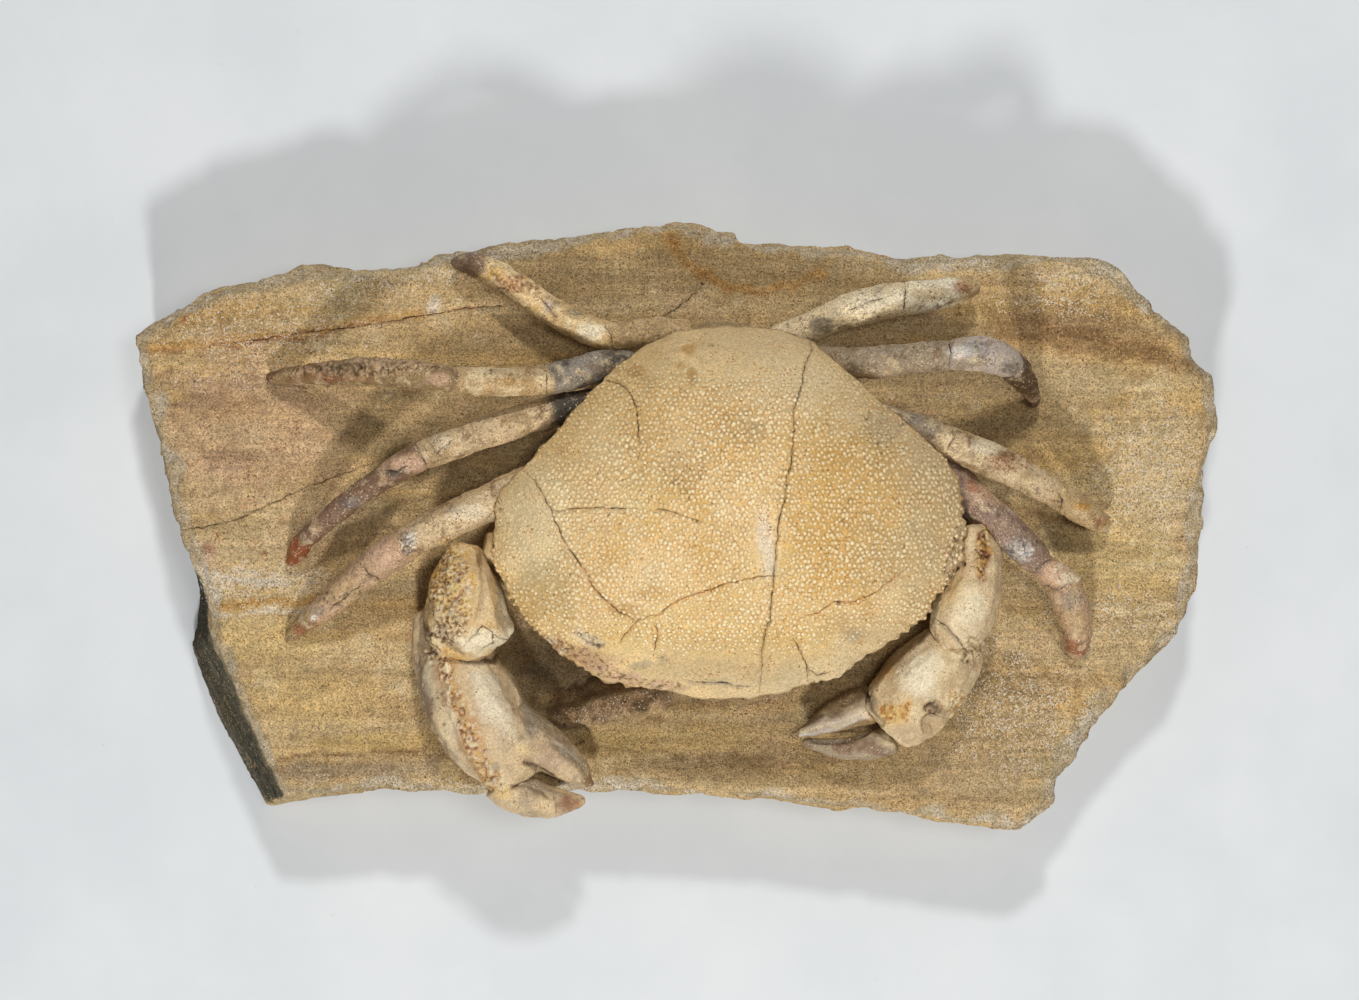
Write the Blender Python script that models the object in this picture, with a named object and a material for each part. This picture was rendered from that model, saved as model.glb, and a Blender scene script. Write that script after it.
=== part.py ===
"""A fossil crab on a slab of sandstone.

The slab lies on its flat underside, and the origin is the middle of the slab there. The crab faces -Y. Its body
stands on a low mound of the slab, and its two claws and eight walking legs reach out over the stone. Left and
right are as a viewer in front of the crab sees them, so the left claw is at -X. Sizes are in millimetres, and
"lift" is a height above the level of the slab's top.
"""

import math

import bmesh
import bpy
import numpy as np
from mathutils import Vector
from mathutils.bvhtree import BVHTree

MM = 0.001
GAP = 0.3  # what touching pieces keep between them
ROOM = 0.55  # how far a piece is cut back from a neighbour that it would run into
TIP_CLEARANCE = 0.5  # between a resting leg or claw and the stone

# The slab
SLAB_THICKNESS = 30.0
SLAB_OUTLINE = [
    (-136.5, 48.0), (-132.0, 51.5), (-119.0, 59.0), (-115.5, 60.0), (-99.0, 63.0), (-94.0, 65.0),
    (-74.0, 65.0), (-64.0, 66.0), (-61.0, 68.0), (-44.0, 71.0), (-29.0, 73.0), (-14.0, 75.5),
    (-5.5, 76.0), (6.0, 76.0), (15.0, 74.0), (16.0, 72.5), (41.0, 70.5), (56.0, 68.5),
    (71.0, 68.0), (83.0, 69.0), (106.0, 68.0), (111.0, 65.0), (116.0, 60.0), (121.0, 54.5),
    (128.5, 47.5), (130.0, 42.5), (134.0, 38.5), (135.5, 34.0),
    (136.5, 28.5), (134.5, 22.0), (132.5, 14.0), (132.5, 1.0),
    (131.0, -4.0), (130.5, -14.0), (127.5, -23.0), (125.0, -27.0), (118.0, -33.0), (111.0, -42.0),
    (103.0, -50.5), (100.0, -57.5), (96.0, -63.0), (95.0, -69.0), (89.5, -73.5), (86.0, -76.0),
    (66.0, -73.0), (41.0, -70.0), (6.0, -67.0), (-22.0, -66.0), (-44.0, -66.5), (-72.0, -65.5),
    (-84.0, -67.0), (-99.0, -67.5), (-109.0, -45.5), (-115.5, -29.0), (-118.0, -18.0), (-124.0, -3.0),
    (-128.0, 12.0), (-130.0, 22.0), (-134.0, 34.5), (-135.0, 41.5),
]
SLAB_TOP_RINGS = (0.16, 0.3, 0.4, 0.52, 0.68, 0.84, 0.975)  # shares of the way out from the crab's foot
RIM_DROP = 1.6  # how far the broken rim lies below the top
SIDE_LEVELS = (0.66, 0.3)  # shares of the thickness where the broken sides are drawn
SIDE_ROUGHNESS = 1.3  # half the difference between the broken side's ridges and its hollows
SIDE_TURN = 2.4  # radians of that roughness from one point of the outline to the next
SIDE_SHIFT = 20.0  # radians by which it shifts over the whole thickness
FOOT_INSET = 0.65  # how far the underside's edge lies inside the rim
# Where the slab's left front side slopes out towards its foot: round this point, in full up to the first
# distance and not at all beyond the second.
SLOPE_MIDDLE = (-109.0, -46.0)
SLOPE_NEAR, SLOPE_FAR = 17.0, 44.0
SLOPE_OUT = 11.5
# Low swells and hollows of the top: x, y, radius, height.
SWELLS = [
    (-92.0, 22.0, 26.0, -1.3),
    (95.0, 18.0, 26.0, -1.5),
    (122.0, 22.0, 18.0, 1.2),
    (-70.0, -52.0, 26.0, 0.8),
    (62.0, -64.0, 24.0, 0.9),
    (-30.0, 64.0, 26.0, 0.9),
]

# The mound that carries the crab's body, and the flat of the body that rests on it
CRAB_FOOT = (13.0, 3.5)
MOUND_HEIGHT = 6.0
MOUND_TOP, MOUND_EDGE = 0.3, 0.46  # shares of the way from the crab's foot to the slab's rim

# The carapace's margin, seen from above, from behind its left corner round the front: a smooth line, and the
# notches that are cut into it, each as x, y, half width and depth.
CARAPACE_OUTLINE = [
    (-38.1, 14.6), (-42.0, 10.5), (-44.9, 6.0), (-45.2, 0.0), (-45.4, -7.5), (-43.0, -12.5),
    (-40.5, -17.5), (-37.4, -22.0), (-33.3, -26.3), (-28.5, -30.6), (-22.8, -34.2), (-17.5, -37.4),
    (-12.0, -38.5), (-4.0, -39.2), (3.0, -41.0), (10.0, -41.6), (17.0, -41.2), (24.0, -40.6),
    (31.0, -37.8), (39.5, -36.4), (45.5, -31.4), (50.5, -29.1), (55.5, -25.6), (61.0, -21.3),
    (64.5, -15.5), (67.6, -12.6), (70.4, -7.0), (71.1, -0.5), (69.8, 6.0), (69.2, 11.0),
    (66.4, 16.5), (58.9, 23.9), (50.6, 30.5), (43.0, 38.0), (34.6, 44.5), (24.0, 49.3),
    (10.5, 49.7), (-2.0, 47.8), (-11.5, 42.6), (-20.3, 34.4), (-29.6, 23.9),
]
MARGIN_NOTCHES = [
    (-44.9, 2.6, 1.3, 0.8), (-45.3, -4.4, 1.3, 0.9), (-43.0, -12.2, 0.9, 0.8), (-40.0, -18.4, 1.0, 0.6),
    (-36.6, -22.8, 0.9, 0.5), (-31.6, -28.0, 0.9, 0.7), (-25.8, -32.4, 0.9, 0.5), (-14.3, -38.2, 1.1, 1.4),
    (-10.3, -38.6, 0.8, 0.7), (-1.5, -39.7, 1.0, 0.7), (21.6, -40.9, 1.0, 0.7), (42.3, -34.0, 1.6, 0.8),
    (47.8, -30.2, 1.0, 0.5), (52.4, -27.9, 1.0, 0.6), (58.3, -23.4, 1.1, 0.8), (63.2, -17.4, 1.0, 0.8),
    (68.8, -10.4, 1.2, 2.0), (70.9, -3.8, 1.3, 2.0), (70.6, 3.2, 1.2, 0.5),
]
MARGIN_SAMPLES = 3  # between two points of the outline
MARGIN_EVENING = 9.0  # degrees over which the margin's teeth are evened out on the way up the dome
MARGIN_RAGGED = (0.8, 0.97)  # shares of the way out between which the teeth come in
MARGIN_LIFT = 18.5  # at the level of the crab's foot
MARGIN_SLOPE = -0.085  # the front is carried higher than the rear
MARGIN_SIDE_RISE = 2.0
DOME_LIFT = 46.0
DOME_RINGS = (0.2, 0.39, 0.56, 0.71, 0.83, 0.92, 0.975)
DOME_FULLNESS = 0.8
DOME_FLATNESS = 3.0  # the higher, the wider the flat top of the dome
DOME_FLATNESS_LOST_SIDEWAYS = 0.9
EDGE_THICKNESS = 2.0
UNDERSIDE_RINGS = (0.965, 0.8, 0.64, 0.5)  # the last one bounds the flat that rests on the mound
UNDERSIDE_HOLLOW = 1.5  # above 1 the underside curves in below the edge

# Limbs. A station is the middle of a section and its size: x, y, lift, width, and for the claws the depth. An
# article is the stiff piece between two joints. It starts at the last station of the article before it.
LEG_SIDES, CLAW_SIDES = 8, 11
NEAR_END = 0.12  # where an article starts to round off, in stations from its end
END_SIZE = 0.86  # of an article's last section, beside the one before it
TANGENT_REACH = 0.05  # in stations, how far along its line a section looks to find its direction
THINNEST = 0.8
DEPTH_OF_WIDTH = 1.08  # a walking leg is a little deeper than it is wide
LEGS = {
    "left_leg_1": {
        "thigh": [
            (-32.5, 12.5, 14.0, 7.0), (-42.0, 8.5, 15.0, 7.5), (-52.5, 3.5, 17.0, 7.0),
            (-63.5, -2.0, 18.0, 7.0),
        ],
        "shin": [
            (-71.0, -6.5, 15.0, 7.0), (-78.5, -12.0, 11.0, 5.5), (-84.5, -17.5, 8.0, 5.0),
            (-90.0, -21.5, 4.8, 3.8),
        ],
        "tip": [(-93.0, -24.0, 3.2, 2.7), (-96.5, -27.0, 1.6, 1.0)],
    },
    "left_leg_2": {
        "hip": [(-19.0, 31.0, 11.0, 6.6), (-26.0, 29.8, 13.0, 6.8), (-31.5, 28.6, 14.0, 6.5)],
        "thigh": [(-45.5, 24.0, 17.0, 6.8), (-62.0, 18.0, 18.0, 6.2)],
        "shin": [
            (-69.0, 14.5, 16.0, 5.8), (-76.0, 10.0, 13.0, 3.8), (-84.5, 4.0, 10.0, 4.6),
            (-92.5, -3.0, 5.5, 4.0),
        ],
        "tip": [(-94.5, -6.0, 3.5, 3.4), (-96.5, -8.5, 1.8, 1.2)],
    },
    "left_leg_3": {
        "hip": [(-11.0, 40.2, 9.0, 6.4), (-19.5, 39.9, 12.5, 7.2), (-31.8, 36.4, 18.5, 6.2)],
        "thigh": [(-43.1, 35.7, 24.0, 6.0), (-53.7, 36.0, 28.5, 5.5)],
        "shin": [(-60.1, 37.1, 27.5, 5.0), (-71.8, 38.7, 20.5, 6.0), (-82.6, 38.4, 12.5, 5.2)],
        "tip": [(-92.4, 38.0, 6.0, 3.5), (-101.5, 37.5, 1.8, 1.2)],
    },
    "left_leg_4": {
        "hip": [(3.0, 48.5, 8.0, 5.0), (-6.5, 48.5, 9.5, 5.4), (-16.0, 47.5, 10.5, 5.6)],
        "thigh": [(-23.0, 49.5, 10.5, 5.5), (-31.5, 54.0, 9.5, 5.4)],
        "shin": [(-39.5, 59.5, 8.5, 5.5), (-48.0, 64.5, 7.5, 5.0)],
        "tip": [(-51.0, 65.5, 6.5, 4.0), (-55.0, 66.0, 5.5, 1.2)],
    },
    "right_leg_1": {
        "thigh": [
            (63.5, 16.4, 12.0, 7.5), (68.4, 11.4, 13.0, 8.0), (72.7, 6.8, 14.0, 8.3), (77.0, 3.3, 15.0, 7.6),
            (81.2, -1.1, 15.0, 8.2), (85.5, -4.8, 13.5, 7.5), (90.1, -9.0, 12.0, 5.6),
        ],
        "shin": [(95.0, -13.5, 10.0, 7.5), (98.0, -19.5, 7.0, 8.3), (99.5, -25.0, 4.6, 6.5)],
        "tip": [(99.5, -28.5, 3.2, 5.0), (99.5, -31.5, 1.9, 2.4)],
    },
    "right_leg_2": {
        "hip": [(48.5, 27.5, 14.0, 6.0), (56.0, 25.2, 16.0, 6.3), (64.0, 22.3, 17.0, 6.8)],
        "thigh": [(74.0, 18.0, 17.0, 8.0), (83.5, 14.0, 15.0, 7.0), (92.0, 9.0, 12.0, 6.0)],
        "tip": [(97.1, 6.4, 9.5, 5.8), (101.6, 3.5, 6.8, 5.4), (104.5, 1.7, 4.8, 4.4), (106.2, 0.8, 3.8, 2.4)],
    },
    "right_leg_3": {
        "thigh": [
            (33.0, 41.5, 11.5, 6.0), (40.4, 40.4, 15.0, 6.4), (55.5, 41.2, 22.5, 6.2), (66.1, 42.0, 26.5, 6.5),
        ],
        "shin": [(75.0, 42.6, 24.5, 7.4), (81.3, 40.2, 17.5, 6.5)],
        "tip": [(85.2, 37.4, 11.0, 5.0), (87.9, 34.0, 5.5, 3.2), (89.0, 31.0, 2.4, 1.2)],
    },
    "right_leg_4": {
        "thigh": [
            (24.5, 47.0, 8.0, 5.0), (31.9, 48.9, 9.0, 5.0), (37.3, 51.8, 10.5, 5.5), (47.1, 55.2, 12.0, 7.4),
            (56.6, 56.6, 11.5, 6.4),
        ],
        "shin": [(63.5, 57.6, 10.5, 5.5), (68.5, 58.6, 9.5, 4.6)],
        "tip": [(71.0, 59.1, 9.0, 3.6), (73.5, 59.6, 8.6, 1.8)],
    },
}
# The pieces of the claws, each with its own stations: x, y, lift, width, depth.
CLAWS = {
    "left_claw_arm": [
        (-24.0, -10.0, 13.0, 10.5, 10.0), (-36.0, -7.0, 14.0, 10.5, 10.0), (-47.3, -4.3, 15.0, 7.6, 8.0),
    ],
    "left_claw_wrist": [
        (-51.6, -4.0, 16.0, 6.5, 7.0), (-52.3, -9.0, 16.5, 12.5, 12.0), (-51.7, -14.0, 17.0, 17.2, 15.0),
        (-51.4, -20.0, 17.0, 20.6, 16.0), (-50.8, -25.0, 16.5, 21.2, 15.5), (-50.0, -28.3, 16.0, 17.0, 13.0),
        (-49.5, -30.6, 15.3, 9.0, 7.0),
    ],
    "left_claw_palm": [
        (-62.5, -20.5, 8.5, 6.5, 8.0), (-58.8, -28.0, 9.5, 14.5, 12.0), (-54.6, -35.0, 10.0, 21.5, 17.0),
        (-50.4, -42.8, 10.5, 24.5, 18.5),
        (-46.5, -50.0, 10.5, 24.0, 18.0), (-40.5, -54.5, 9.5, 24.0, 15.0), (-32.5, -54.0, 8.5, 12.0, 11.0),
        (-27.5, -58.0, 7.5, 9.0, 8.0), (-23.5, -61.5, 6.8, 5.0, 5.0), (-21.0, -64.0, 6.2, 1.4, 1.6),
    ],
    "left_claw_finger": [
        (-43.5, -62.0, 8.5, 11.0, 10.0), (-40.0, -65.5, 8.0, 10.5, 10.0), (-35.5, -67.0, 7.6, 9.0, 8.5),
        (-31.0, -68.0, 7.2, 7.5, 7.0), (-27.0, -68.0, 6.8, 5.0, 4.6), (-23.0, -67.5, 6.4, 1.4, 1.6),
    ],
    "right_claw_arm": [
        (50.0, -8.0, 13.0, 10.5, 10.0), (61.0, -5.0, 14.0, 11.0, 10.0), (69.0, -2.5, 14.5, 8.0, 9.0),
    ],
    "right_claw_wrist": [
        (72.0, 0.5, 15.0, 6.0, 8.0), (73.5, -5.0, 15.5, 11.0, 12.0), (73.0, -12.5, 16.0, 13.5, 15.0),
        (70.5, -19.0, 16.0, 16.0, 16.0), (69.5, -24.5, 15.5, 15.0, 14.0), (70.0, -28.0, 15.0, 11.0, 10.0),
    ],
    "right_claw_palm": [
        (71.5, -25.0, 9.5, 11.0, 11.0), (68.5, -30.0, 10.0, 16.5, 16.0), (63.5, -35.5, 10.5, 20.5, 18.5),
        (58.5, -41.0, 10.5, 21.0, 18.5), (54.5, -45.5, 10.0, 19.0, 16.0), (51.5, -48.5, 9.0, 15.5, 12.0),
    ],
    "right_claw_fixed_finger": [
        (48.5, -43.5, 8.5, 9.5, 9.0), (41.5, -45.5, 7.8, 8.5, 8.0), (36.0, -48.0, 7.0, 5.5, 6.0),
        (30.0, -51.0, 6.4, 1.4, 1.6),
    ],
    "right_claw_finger": [
        (53.5, -52.0, 8.5, 7.0, 8.0), (47.5, -54.2, 7.8, 6.5, 8.0), (41.5, -54.8, 7.2, 5.0, 6.0),
        (36.5, -54.2, 6.6, 3.5, 4.2), (31.5, -53.0, 6.2, 1.4, 1.6),
    ],
}
# Which pieces make way for a neighbour: each is cut back from it by the gap.
MAKES_WAY = {
    "right_leg_2_thigh": ["carapace"],
    "left_claw_arm": ["carapace"],
    "left_claw_wrist": ["carapace", "left_claw_arm", "left_leg_1_thigh"],
    "left_claw_palm": ["left_claw_wrist"],
    "left_claw_finger": ["left_claw_palm"],
    "right_claw_arm": ["carapace"],
    "right_claw_wrist": ["carapace", "right_claw_arm", "right_leg_1_thigh"],
    "right_claw_palm": ["right_claw_wrist", "carapace"],
    "right_claw_fixed_finger": ["right_claw_palm"],
    "right_claw_finger": ["right_claw_palm", "right_claw_fixed_finger"],
}

# Materials: colour, roughness
SANDSTONE = ("sandstone", (0.55, 0.43, 0.27), 0.92)
SHELL = ("carapace", (0.80, 0.62, 0.35), 0.7)
CLAW = ("claw", (0.76, 0.64, 0.44), 0.6)
LEG = ("leg", (0.66, 0.54, 0.38), 0.7)
TIP = ("leg_tip", (0.42, 0.24, 0.15), 0.6)


def clear_scene():
    for old in list(bpy.data.objects):
        bpy.data.objects.remove(old)


def new_collection(name):
    made = bpy.data.collections.new(name)
    bpy.context.scene.collection.children.link(made)
    return made


def material(name, colour, roughness):
    made = bpy.data.materials.get(name)
    if made is None:
        made = bpy.data.materials.new(name)
        made.use_nodes = True
        shader = made.node_tree.nodes["Principled BSDF"]
        shader.inputs["Base Color"].default_value = (*colour, 1.0)
        shader.inputs["Roughness"].default_value = roughness
        shader.inputs["Metallic"].default_value = 0.0
    return made


def smoothstep(share):
    share = np.clip(share, 0.0, 1.0)
    return share * share * (3.0 - 2.0 * share)


def spline(points, at):
    """A Catmull-Rom curve through the rows of points, read at the given positions, counted in rows."""
    points = np.asarray(points, float)
    padded = np.vstack([2 * points[0] - points[1], points, 2 * points[-1] - points[-2]])
    at = np.asarray(at, float)
    start = np.clip(np.floor(at).astype(int), 0, len(points) - 2)
    t = (at - start)[:, None]
    before, first, second, after = (padded[start + k] for k in range(4))
    return 0.5 * (
        2 * first
        + (second - before) * t
        + (2 * before - 5 * first + 4 * second - after) * t**2
        + (3 * first - before - 3 * second + after) * t**3
    )


def skin(name, rings, finish, collection):
    """A closed solid over rings of equally many points, each end closed by a fan to the ring's middle."""
    mesh = bmesh.new()
    rows = [[mesh.verts.new(Vector(p) * MM) for p in ring] for ring in rings]
    count = len(rows[0])
    for row, following in zip(rows, rows[1:]):
        for i in range(count):
            j = (i + 1) % count
            mesh.faces.new((row[i], following[i], following[j], row[j]))
    for row, ring, turn in ((rows[0], rings[0], 1), (rows[-1], rings[-1], -1)):
        middle = mesh.verts.new(Vector(np.mean(ring, axis=0)) * MM)
        for i in range(count):
            corners = (middle, row[i], row[(i + 1) % count])
            mesh.faces.new(corners[::turn])
    bmesh.ops.recalc_face_normals(mesh, faces=mesh.faces)
    data = bpy.data.meshes.new(name)
    mesh.to_mesh(data)
    mesh.free()
    data.materials.append(material(*finish))
    made = bpy.data.objects.new(name, data)
    collection.objects.link(made)
    return made


def swell_of_top(x, y):
    return sum(
        height * np.exp(-((x - cx) ** 2 + (y - cy) ** 2) / (2 * radius**2)) for cx, cy, radius, height in SWELLS
    )


def slope_of_side(x, y):
    """How far the slab's foot stands out from its rim: only the left front side slopes."""
    away = np.hypot(x - SLOPE_MIDDLE[0], y - SLOPE_MIDDLE[1])
    return SLOPE_OUT * (1.0 - smoothstep((away - SLOPE_NEAR) / (SLOPE_FAR - SLOPE_NEAR)))


def slab(collection):
    rim = np.array(SLAB_OUTLINE)
    middle = (rim.max(axis=0) + rim.min(axis=0)) / 2
    rim = rim - middle
    foot = np.array(CRAB_FOOT)
    outward = rim / np.linalg.norm(rim, axis=1)[:, None]
    rings = []
    for share in SLAB_TOP_RINGS:
        ring = foot + share * (rim - foot)
        mound = 1.0 - smoothstep((share - MOUND_TOP) / (MOUND_EDGE - MOUND_TOP))
        lift = swell_of_top(ring[:, 0], ring[:, 1]) * (1.0 - mound) + MOUND_HEIGHT * mound
        rings.append(np.column_stack([ring, SLAB_THICKNESS + lift]))
    rim_level = SLAB_THICKNESS + swell_of_top(rim[:, 0], rim[:, 1]) - RIM_DROP
    rings.append(np.column_stack([rim, rim_level]))
    step = np.arange(len(rim))
    slope = slope_of_side(rim[:, 0], rim[:, 1])
    for level in SIDE_LEVELS:
        rough = SIDE_ROUGHNESS * (np.sin(step * SIDE_TURN + level * SIDE_SHIFT) - 1.0)
        out = rough + slope * (1.0 - level)
        rings.append(np.column_stack([rim + outward * out[:, None], np.full(len(rim), SLAB_THICKNESS * level)]))
    out = slope - FOOT_INSET
    rings.append(np.column_stack([rim + outward * out[:, None], np.zeros(len(rim))]))
    rings = [ring[::-1] for ring in rings]
    return skin("sandstone_slab", rings, SANDSTONE, collection)


def carapace_margin():
    """The margin with its notches, which are cut straight towards the crab's foot."""
    count = len(CARAPACE_OUTLINE)
    round_it = np.vstack([CARAPACE_OUTLINE[-1:], CARAPACE_OUTLINE, CARAPACE_OUTLINE[:2]])
    line = spline(round_it, 1 + np.arange(count * MARGIN_SAMPLES) / MARGIN_SAMPLES)
    inward = CRAB_FOOT - line
    inward /= np.linalg.norm(inward, axis=1)[:, None]
    for x, y, half_width, depth in MARGIN_NOTCHES:
        near = np.exp(-((line - (x, y)) ** 2).sum(axis=1) / half_width**2)
        line = line + inward * (depth * near)[:, None]
    return line


def evened(away):
    """How far the margin lies from the crab's foot along each way out, with its teeth evened out."""
    reach = np.linalg.norm(away, axis=1)
    angle = np.degrees(np.arctan2(away[:, 1], away[:, 0]))
    degrees = np.arange(360)
    round_reach = np.interp(degrees, angle, reach, period=360)
    near = np.exp(-((np.minimum(degrees, 360 - degrees) / MARGIN_EVENING) ** 2))
    blurred = np.real(np.fft.ifft(np.fft.fft(round_reach) * np.fft.fft(near / near.sum())))
    return np.interp(angle, degrees, blurred, period=360)


def carapace(collection):
    """The body as one solid: the domed back, a thin edge, and an underside that narrows to a flat foot."""
    margin = carapace_margin()
    away = margin - CRAB_FOOT
    reach = np.linalg.norm(away, axis=1)
    outward = away / reach[:, None]
    even_reach = evened(away)
    sideways = np.abs(outward[:, 0])
    margin_lift = MARGIN_LIFT + MARGIN_SLOPE * away[:, 1] + MARGIN_SIDE_RISE * sideways**2
    flatness = DOME_FLATNESS - DOME_FLATNESS_LOST_SIDEWAYS * sideways
    rings = []
    for share in DOME_RINGS:
        ragged = smoothstep((share - MARGIN_RAGGED[0]) / (MARGIN_RAGGED[1] - MARGIN_RAGGED[0]))
        here = share * (even_reach + (reach - even_reach) * ragged)
        dome = (1.0 - share**flatness) ** DOME_FULLNESS
        lift = margin_lift + (DOME_LIFT - margin_lift) * dome
        rings.append(np.column_stack([CRAB_FOOT + outward * here[:, None], SLAB_THICKNESS + lift]))
    rings.append(np.column_stack([margin, SLAB_THICKNESS + margin_lift]))
    foot_lift = MOUND_HEIGHT + GAP
    foot_share = UNDERSIDE_RINGS[-1]
    for share in UNDERSIDE_RINGS:
        rise = ((share - foot_share) / (UNDERSIDE_RINGS[0] - foot_share)) ** UNDERSIDE_HOLLOW
        lift = foot_lift + (margin_lift - EDGE_THICKNESS - foot_lift) * rise
        here = share * (reach if share == UNDERSIDE_RINGS[0] else even_reach)
        rings.append(np.column_stack([CRAB_FOOT + outward * here[:, None], SLAB_THICKNESS + lift]))
    return skin("carapace", rings, SHELL, collection)


def ground_under(surface, x, y):
    """The lift of the slab's top at a point, or 0 beyond its rim."""
    well_above = SLAB_THICKNESS + DOME_LIFT
    hit = surface.ray_cast(Vector((x, y, well_above)) * MM, Vector((0, 0, -1)))[0]
    if hit is None:
        return 0.0
    return max(hit.z / MM - SLAB_THICKNESS, -RIM_DROP)


def raised(stations, surface):
    """The stations as an array, lifted where they would reach into the stone."""
    made = np.array(stations, float)
    for station in made:
        lowest = ground_under(surface, station[0], station[1]) + TIP_CLEARANCE + station[4] / 2
        station[2] = max(station[2], lowest)
    return made


def article(name, chain, first, last, sides, finish, collection):
    """One stiff piece of a limb: sections along the chain of stations from one joint to the next.

    A section lies at each station between the joints, and in a short article half way between two as well.
    """
    spacing = 0.5 if last - first <= 2 else 1.0
    between = np.arange(first + spacing, last, spacing)
    at = np.concatenate([[first, first + NEAR_END], between, [last - NEAR_END, last]])
    stations = spline(chain, at)
    ahead = spline(chain, np.minimum(at + TANGENT_REACH, len(chain) - 1.0))
    behind = spline(chain, np.maximum(at - TANGENT_REACH, 0.0))
    turned_in = np.array([END_SIZE] + [1.0] * (len(at) - 2) + [END_SIZE])
    rings = []
    for k, (station, tangent) in enumerate(zip(stations, ahead - behind)):
        direction = Vector(tangent[:3]).normalized()
        side = direction.cross(Vector((0, 0, 1))).normalized()
        up = side.cross(direction)
        pull = {0: GAP / 2, len(at) - 1: -GAP / 2}.get(k, 0.0)
        middle = Vector(station[:3]) + direction * pull + Vector((0, 0, SLAB_THICKNESS))
        half_width, half_depth = np.maximum(station[3:5], THINNEST) / 2 * turned_in[k]
        turns = [2 * math.pi * i / sides for i in range(sides)]
        rings.append([middle + side * half_width * math.cos(a) + up * half_depth * math.sin(a) for a in turns])
    return skin(name, rings, finish, collection)


def walking_legs(surface, collection):
    made = {}
    for leg, articles in LEGS.items():
        stations = [(*station, station[3] * DEPTH_OF_WIDTH) for run in articles.values() for station in run]
        chain = raised(stations, surface)
        first = 0
        for name, run in articles.items():
            last = (first + len(run) - 1) if first == 0 else first + len(run)
            finish = TIP if name == "tip" else LEG
            node = f"{leg}_{name}"
            made[node] = article(node, chain, first, last, LEG_SIDES, finish, collection)
            first = last
    return made


def claws(surface, collection):
    made = {}
    for name, stations in CLAWS.items():
        chain = raised(stations, surface)
        made[name] = article(name, chain, 0, len(chain) - 1, CLAW_SIDES, CLAW, collection)
    return made


def grown(piece, cutters):
    """A cutter: the piece with each of its points moved out by the room that a neighbour leaves it."""
    name = f"room_round_{piece.name}"
    found = bpy.data.objects.get(name)
    if found:
        return found
    mesh = bmesh.new()
    mesh.from_mesh(piece.data)
    mesh.normal_update()
    for vertex in mesh.verts:
        vertex.co += vertex.normal * ROOM * MM
    data = bpy.data.meshes.new(name)
    mesh.to_mesh(data)
    mesh.free()
    made = bpy.data.objects.new(name, data)
    made.hide_render = True
    made.display_type = "WIRE"
    cutters.objects.link(made)
    return made


def make_way(pieces, cutters):
    """Cuts each limb piece back from the neighbours that it would run into."""
    cuts = dict(MAKES_WAY)
    for leg, articles in LEGS.items():
        cuts[f"{leg}_{next(iter(articles))}"] = ["carapace"]
    for name, neighbours in cuts.items():
        for neighbour in neighbours:
            cut = pieces[name].modifiers.new(f"room_for_{neighbour}", "BOOLEAN")
            cut.operation = "DIFFERENCE"
            cut.solver = "EXACT"
            cut.object = grown(pieces[neighbour], cutters)


def main():
    clear_scene()
    parts = new_collection("fossil_crab")
    cutters = new_collection("cutters")
    stone = slab(parts)
    bpy.context.view_layer.update()
    surface = BVHTree.FromObject(stone, bpy.context.evaluated_depsgraph_get())
    pieces = {"carapace": carapace(parts)}
    pieces.update(walking_legs(surface, parts))
    pieces.update(claws(surface, parts))
    make_way(pieces, cutters)


main()
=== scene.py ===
"""The looks of the fossil crab on its slab: fine meshes, weathered stone, light and camera.

Sizes are in millimetres. The places of stains, cracks and other marks are given as the camera sees them,
in pixels of a picture 1359 wide and 1000 high, and a vertex is marked by where it lies in that picture.
Ovals are a middle and two radii, and their turns are in degrees, anticlockwise.
"""

import itertools
import math

import bmesh
import bpy
import numpy as np
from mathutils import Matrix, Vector
from mathutils.bvhtree import BVHTree


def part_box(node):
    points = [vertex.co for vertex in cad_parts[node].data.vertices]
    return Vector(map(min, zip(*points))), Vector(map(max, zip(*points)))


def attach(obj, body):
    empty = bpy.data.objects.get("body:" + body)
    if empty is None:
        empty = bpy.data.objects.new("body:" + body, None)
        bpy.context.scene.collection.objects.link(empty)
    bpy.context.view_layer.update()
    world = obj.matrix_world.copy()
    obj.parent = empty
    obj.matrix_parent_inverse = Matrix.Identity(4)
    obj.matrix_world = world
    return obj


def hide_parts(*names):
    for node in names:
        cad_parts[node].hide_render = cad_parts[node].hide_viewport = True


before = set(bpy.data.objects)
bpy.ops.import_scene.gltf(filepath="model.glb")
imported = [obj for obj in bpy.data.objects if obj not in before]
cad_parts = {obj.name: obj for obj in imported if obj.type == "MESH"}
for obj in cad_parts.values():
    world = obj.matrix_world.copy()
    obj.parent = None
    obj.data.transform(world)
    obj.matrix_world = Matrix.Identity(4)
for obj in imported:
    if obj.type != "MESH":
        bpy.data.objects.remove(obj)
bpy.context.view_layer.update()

MM = 0.001
WELD = 0.001  # how near two vertices are taken as one
# Radians by which two triangles may miss these and still make one face
PAIR_FLATNESS, PAIR_SQUARENESS = 0.7, 1.2
SLAB_TOP = 30.0

# The camera looks straight down, and +Y is up in its picture.
PICTURE_MIDDLE = (679.5, 500.0)
PICTURE_WIDTH = 1359
CAMERA = (0.6, 7.0, 832.0)
LENS, SENSOR = 85.0, 36.0
PIXEL = 0.25  # the size of a pixel on the slab's top, nearly

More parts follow.
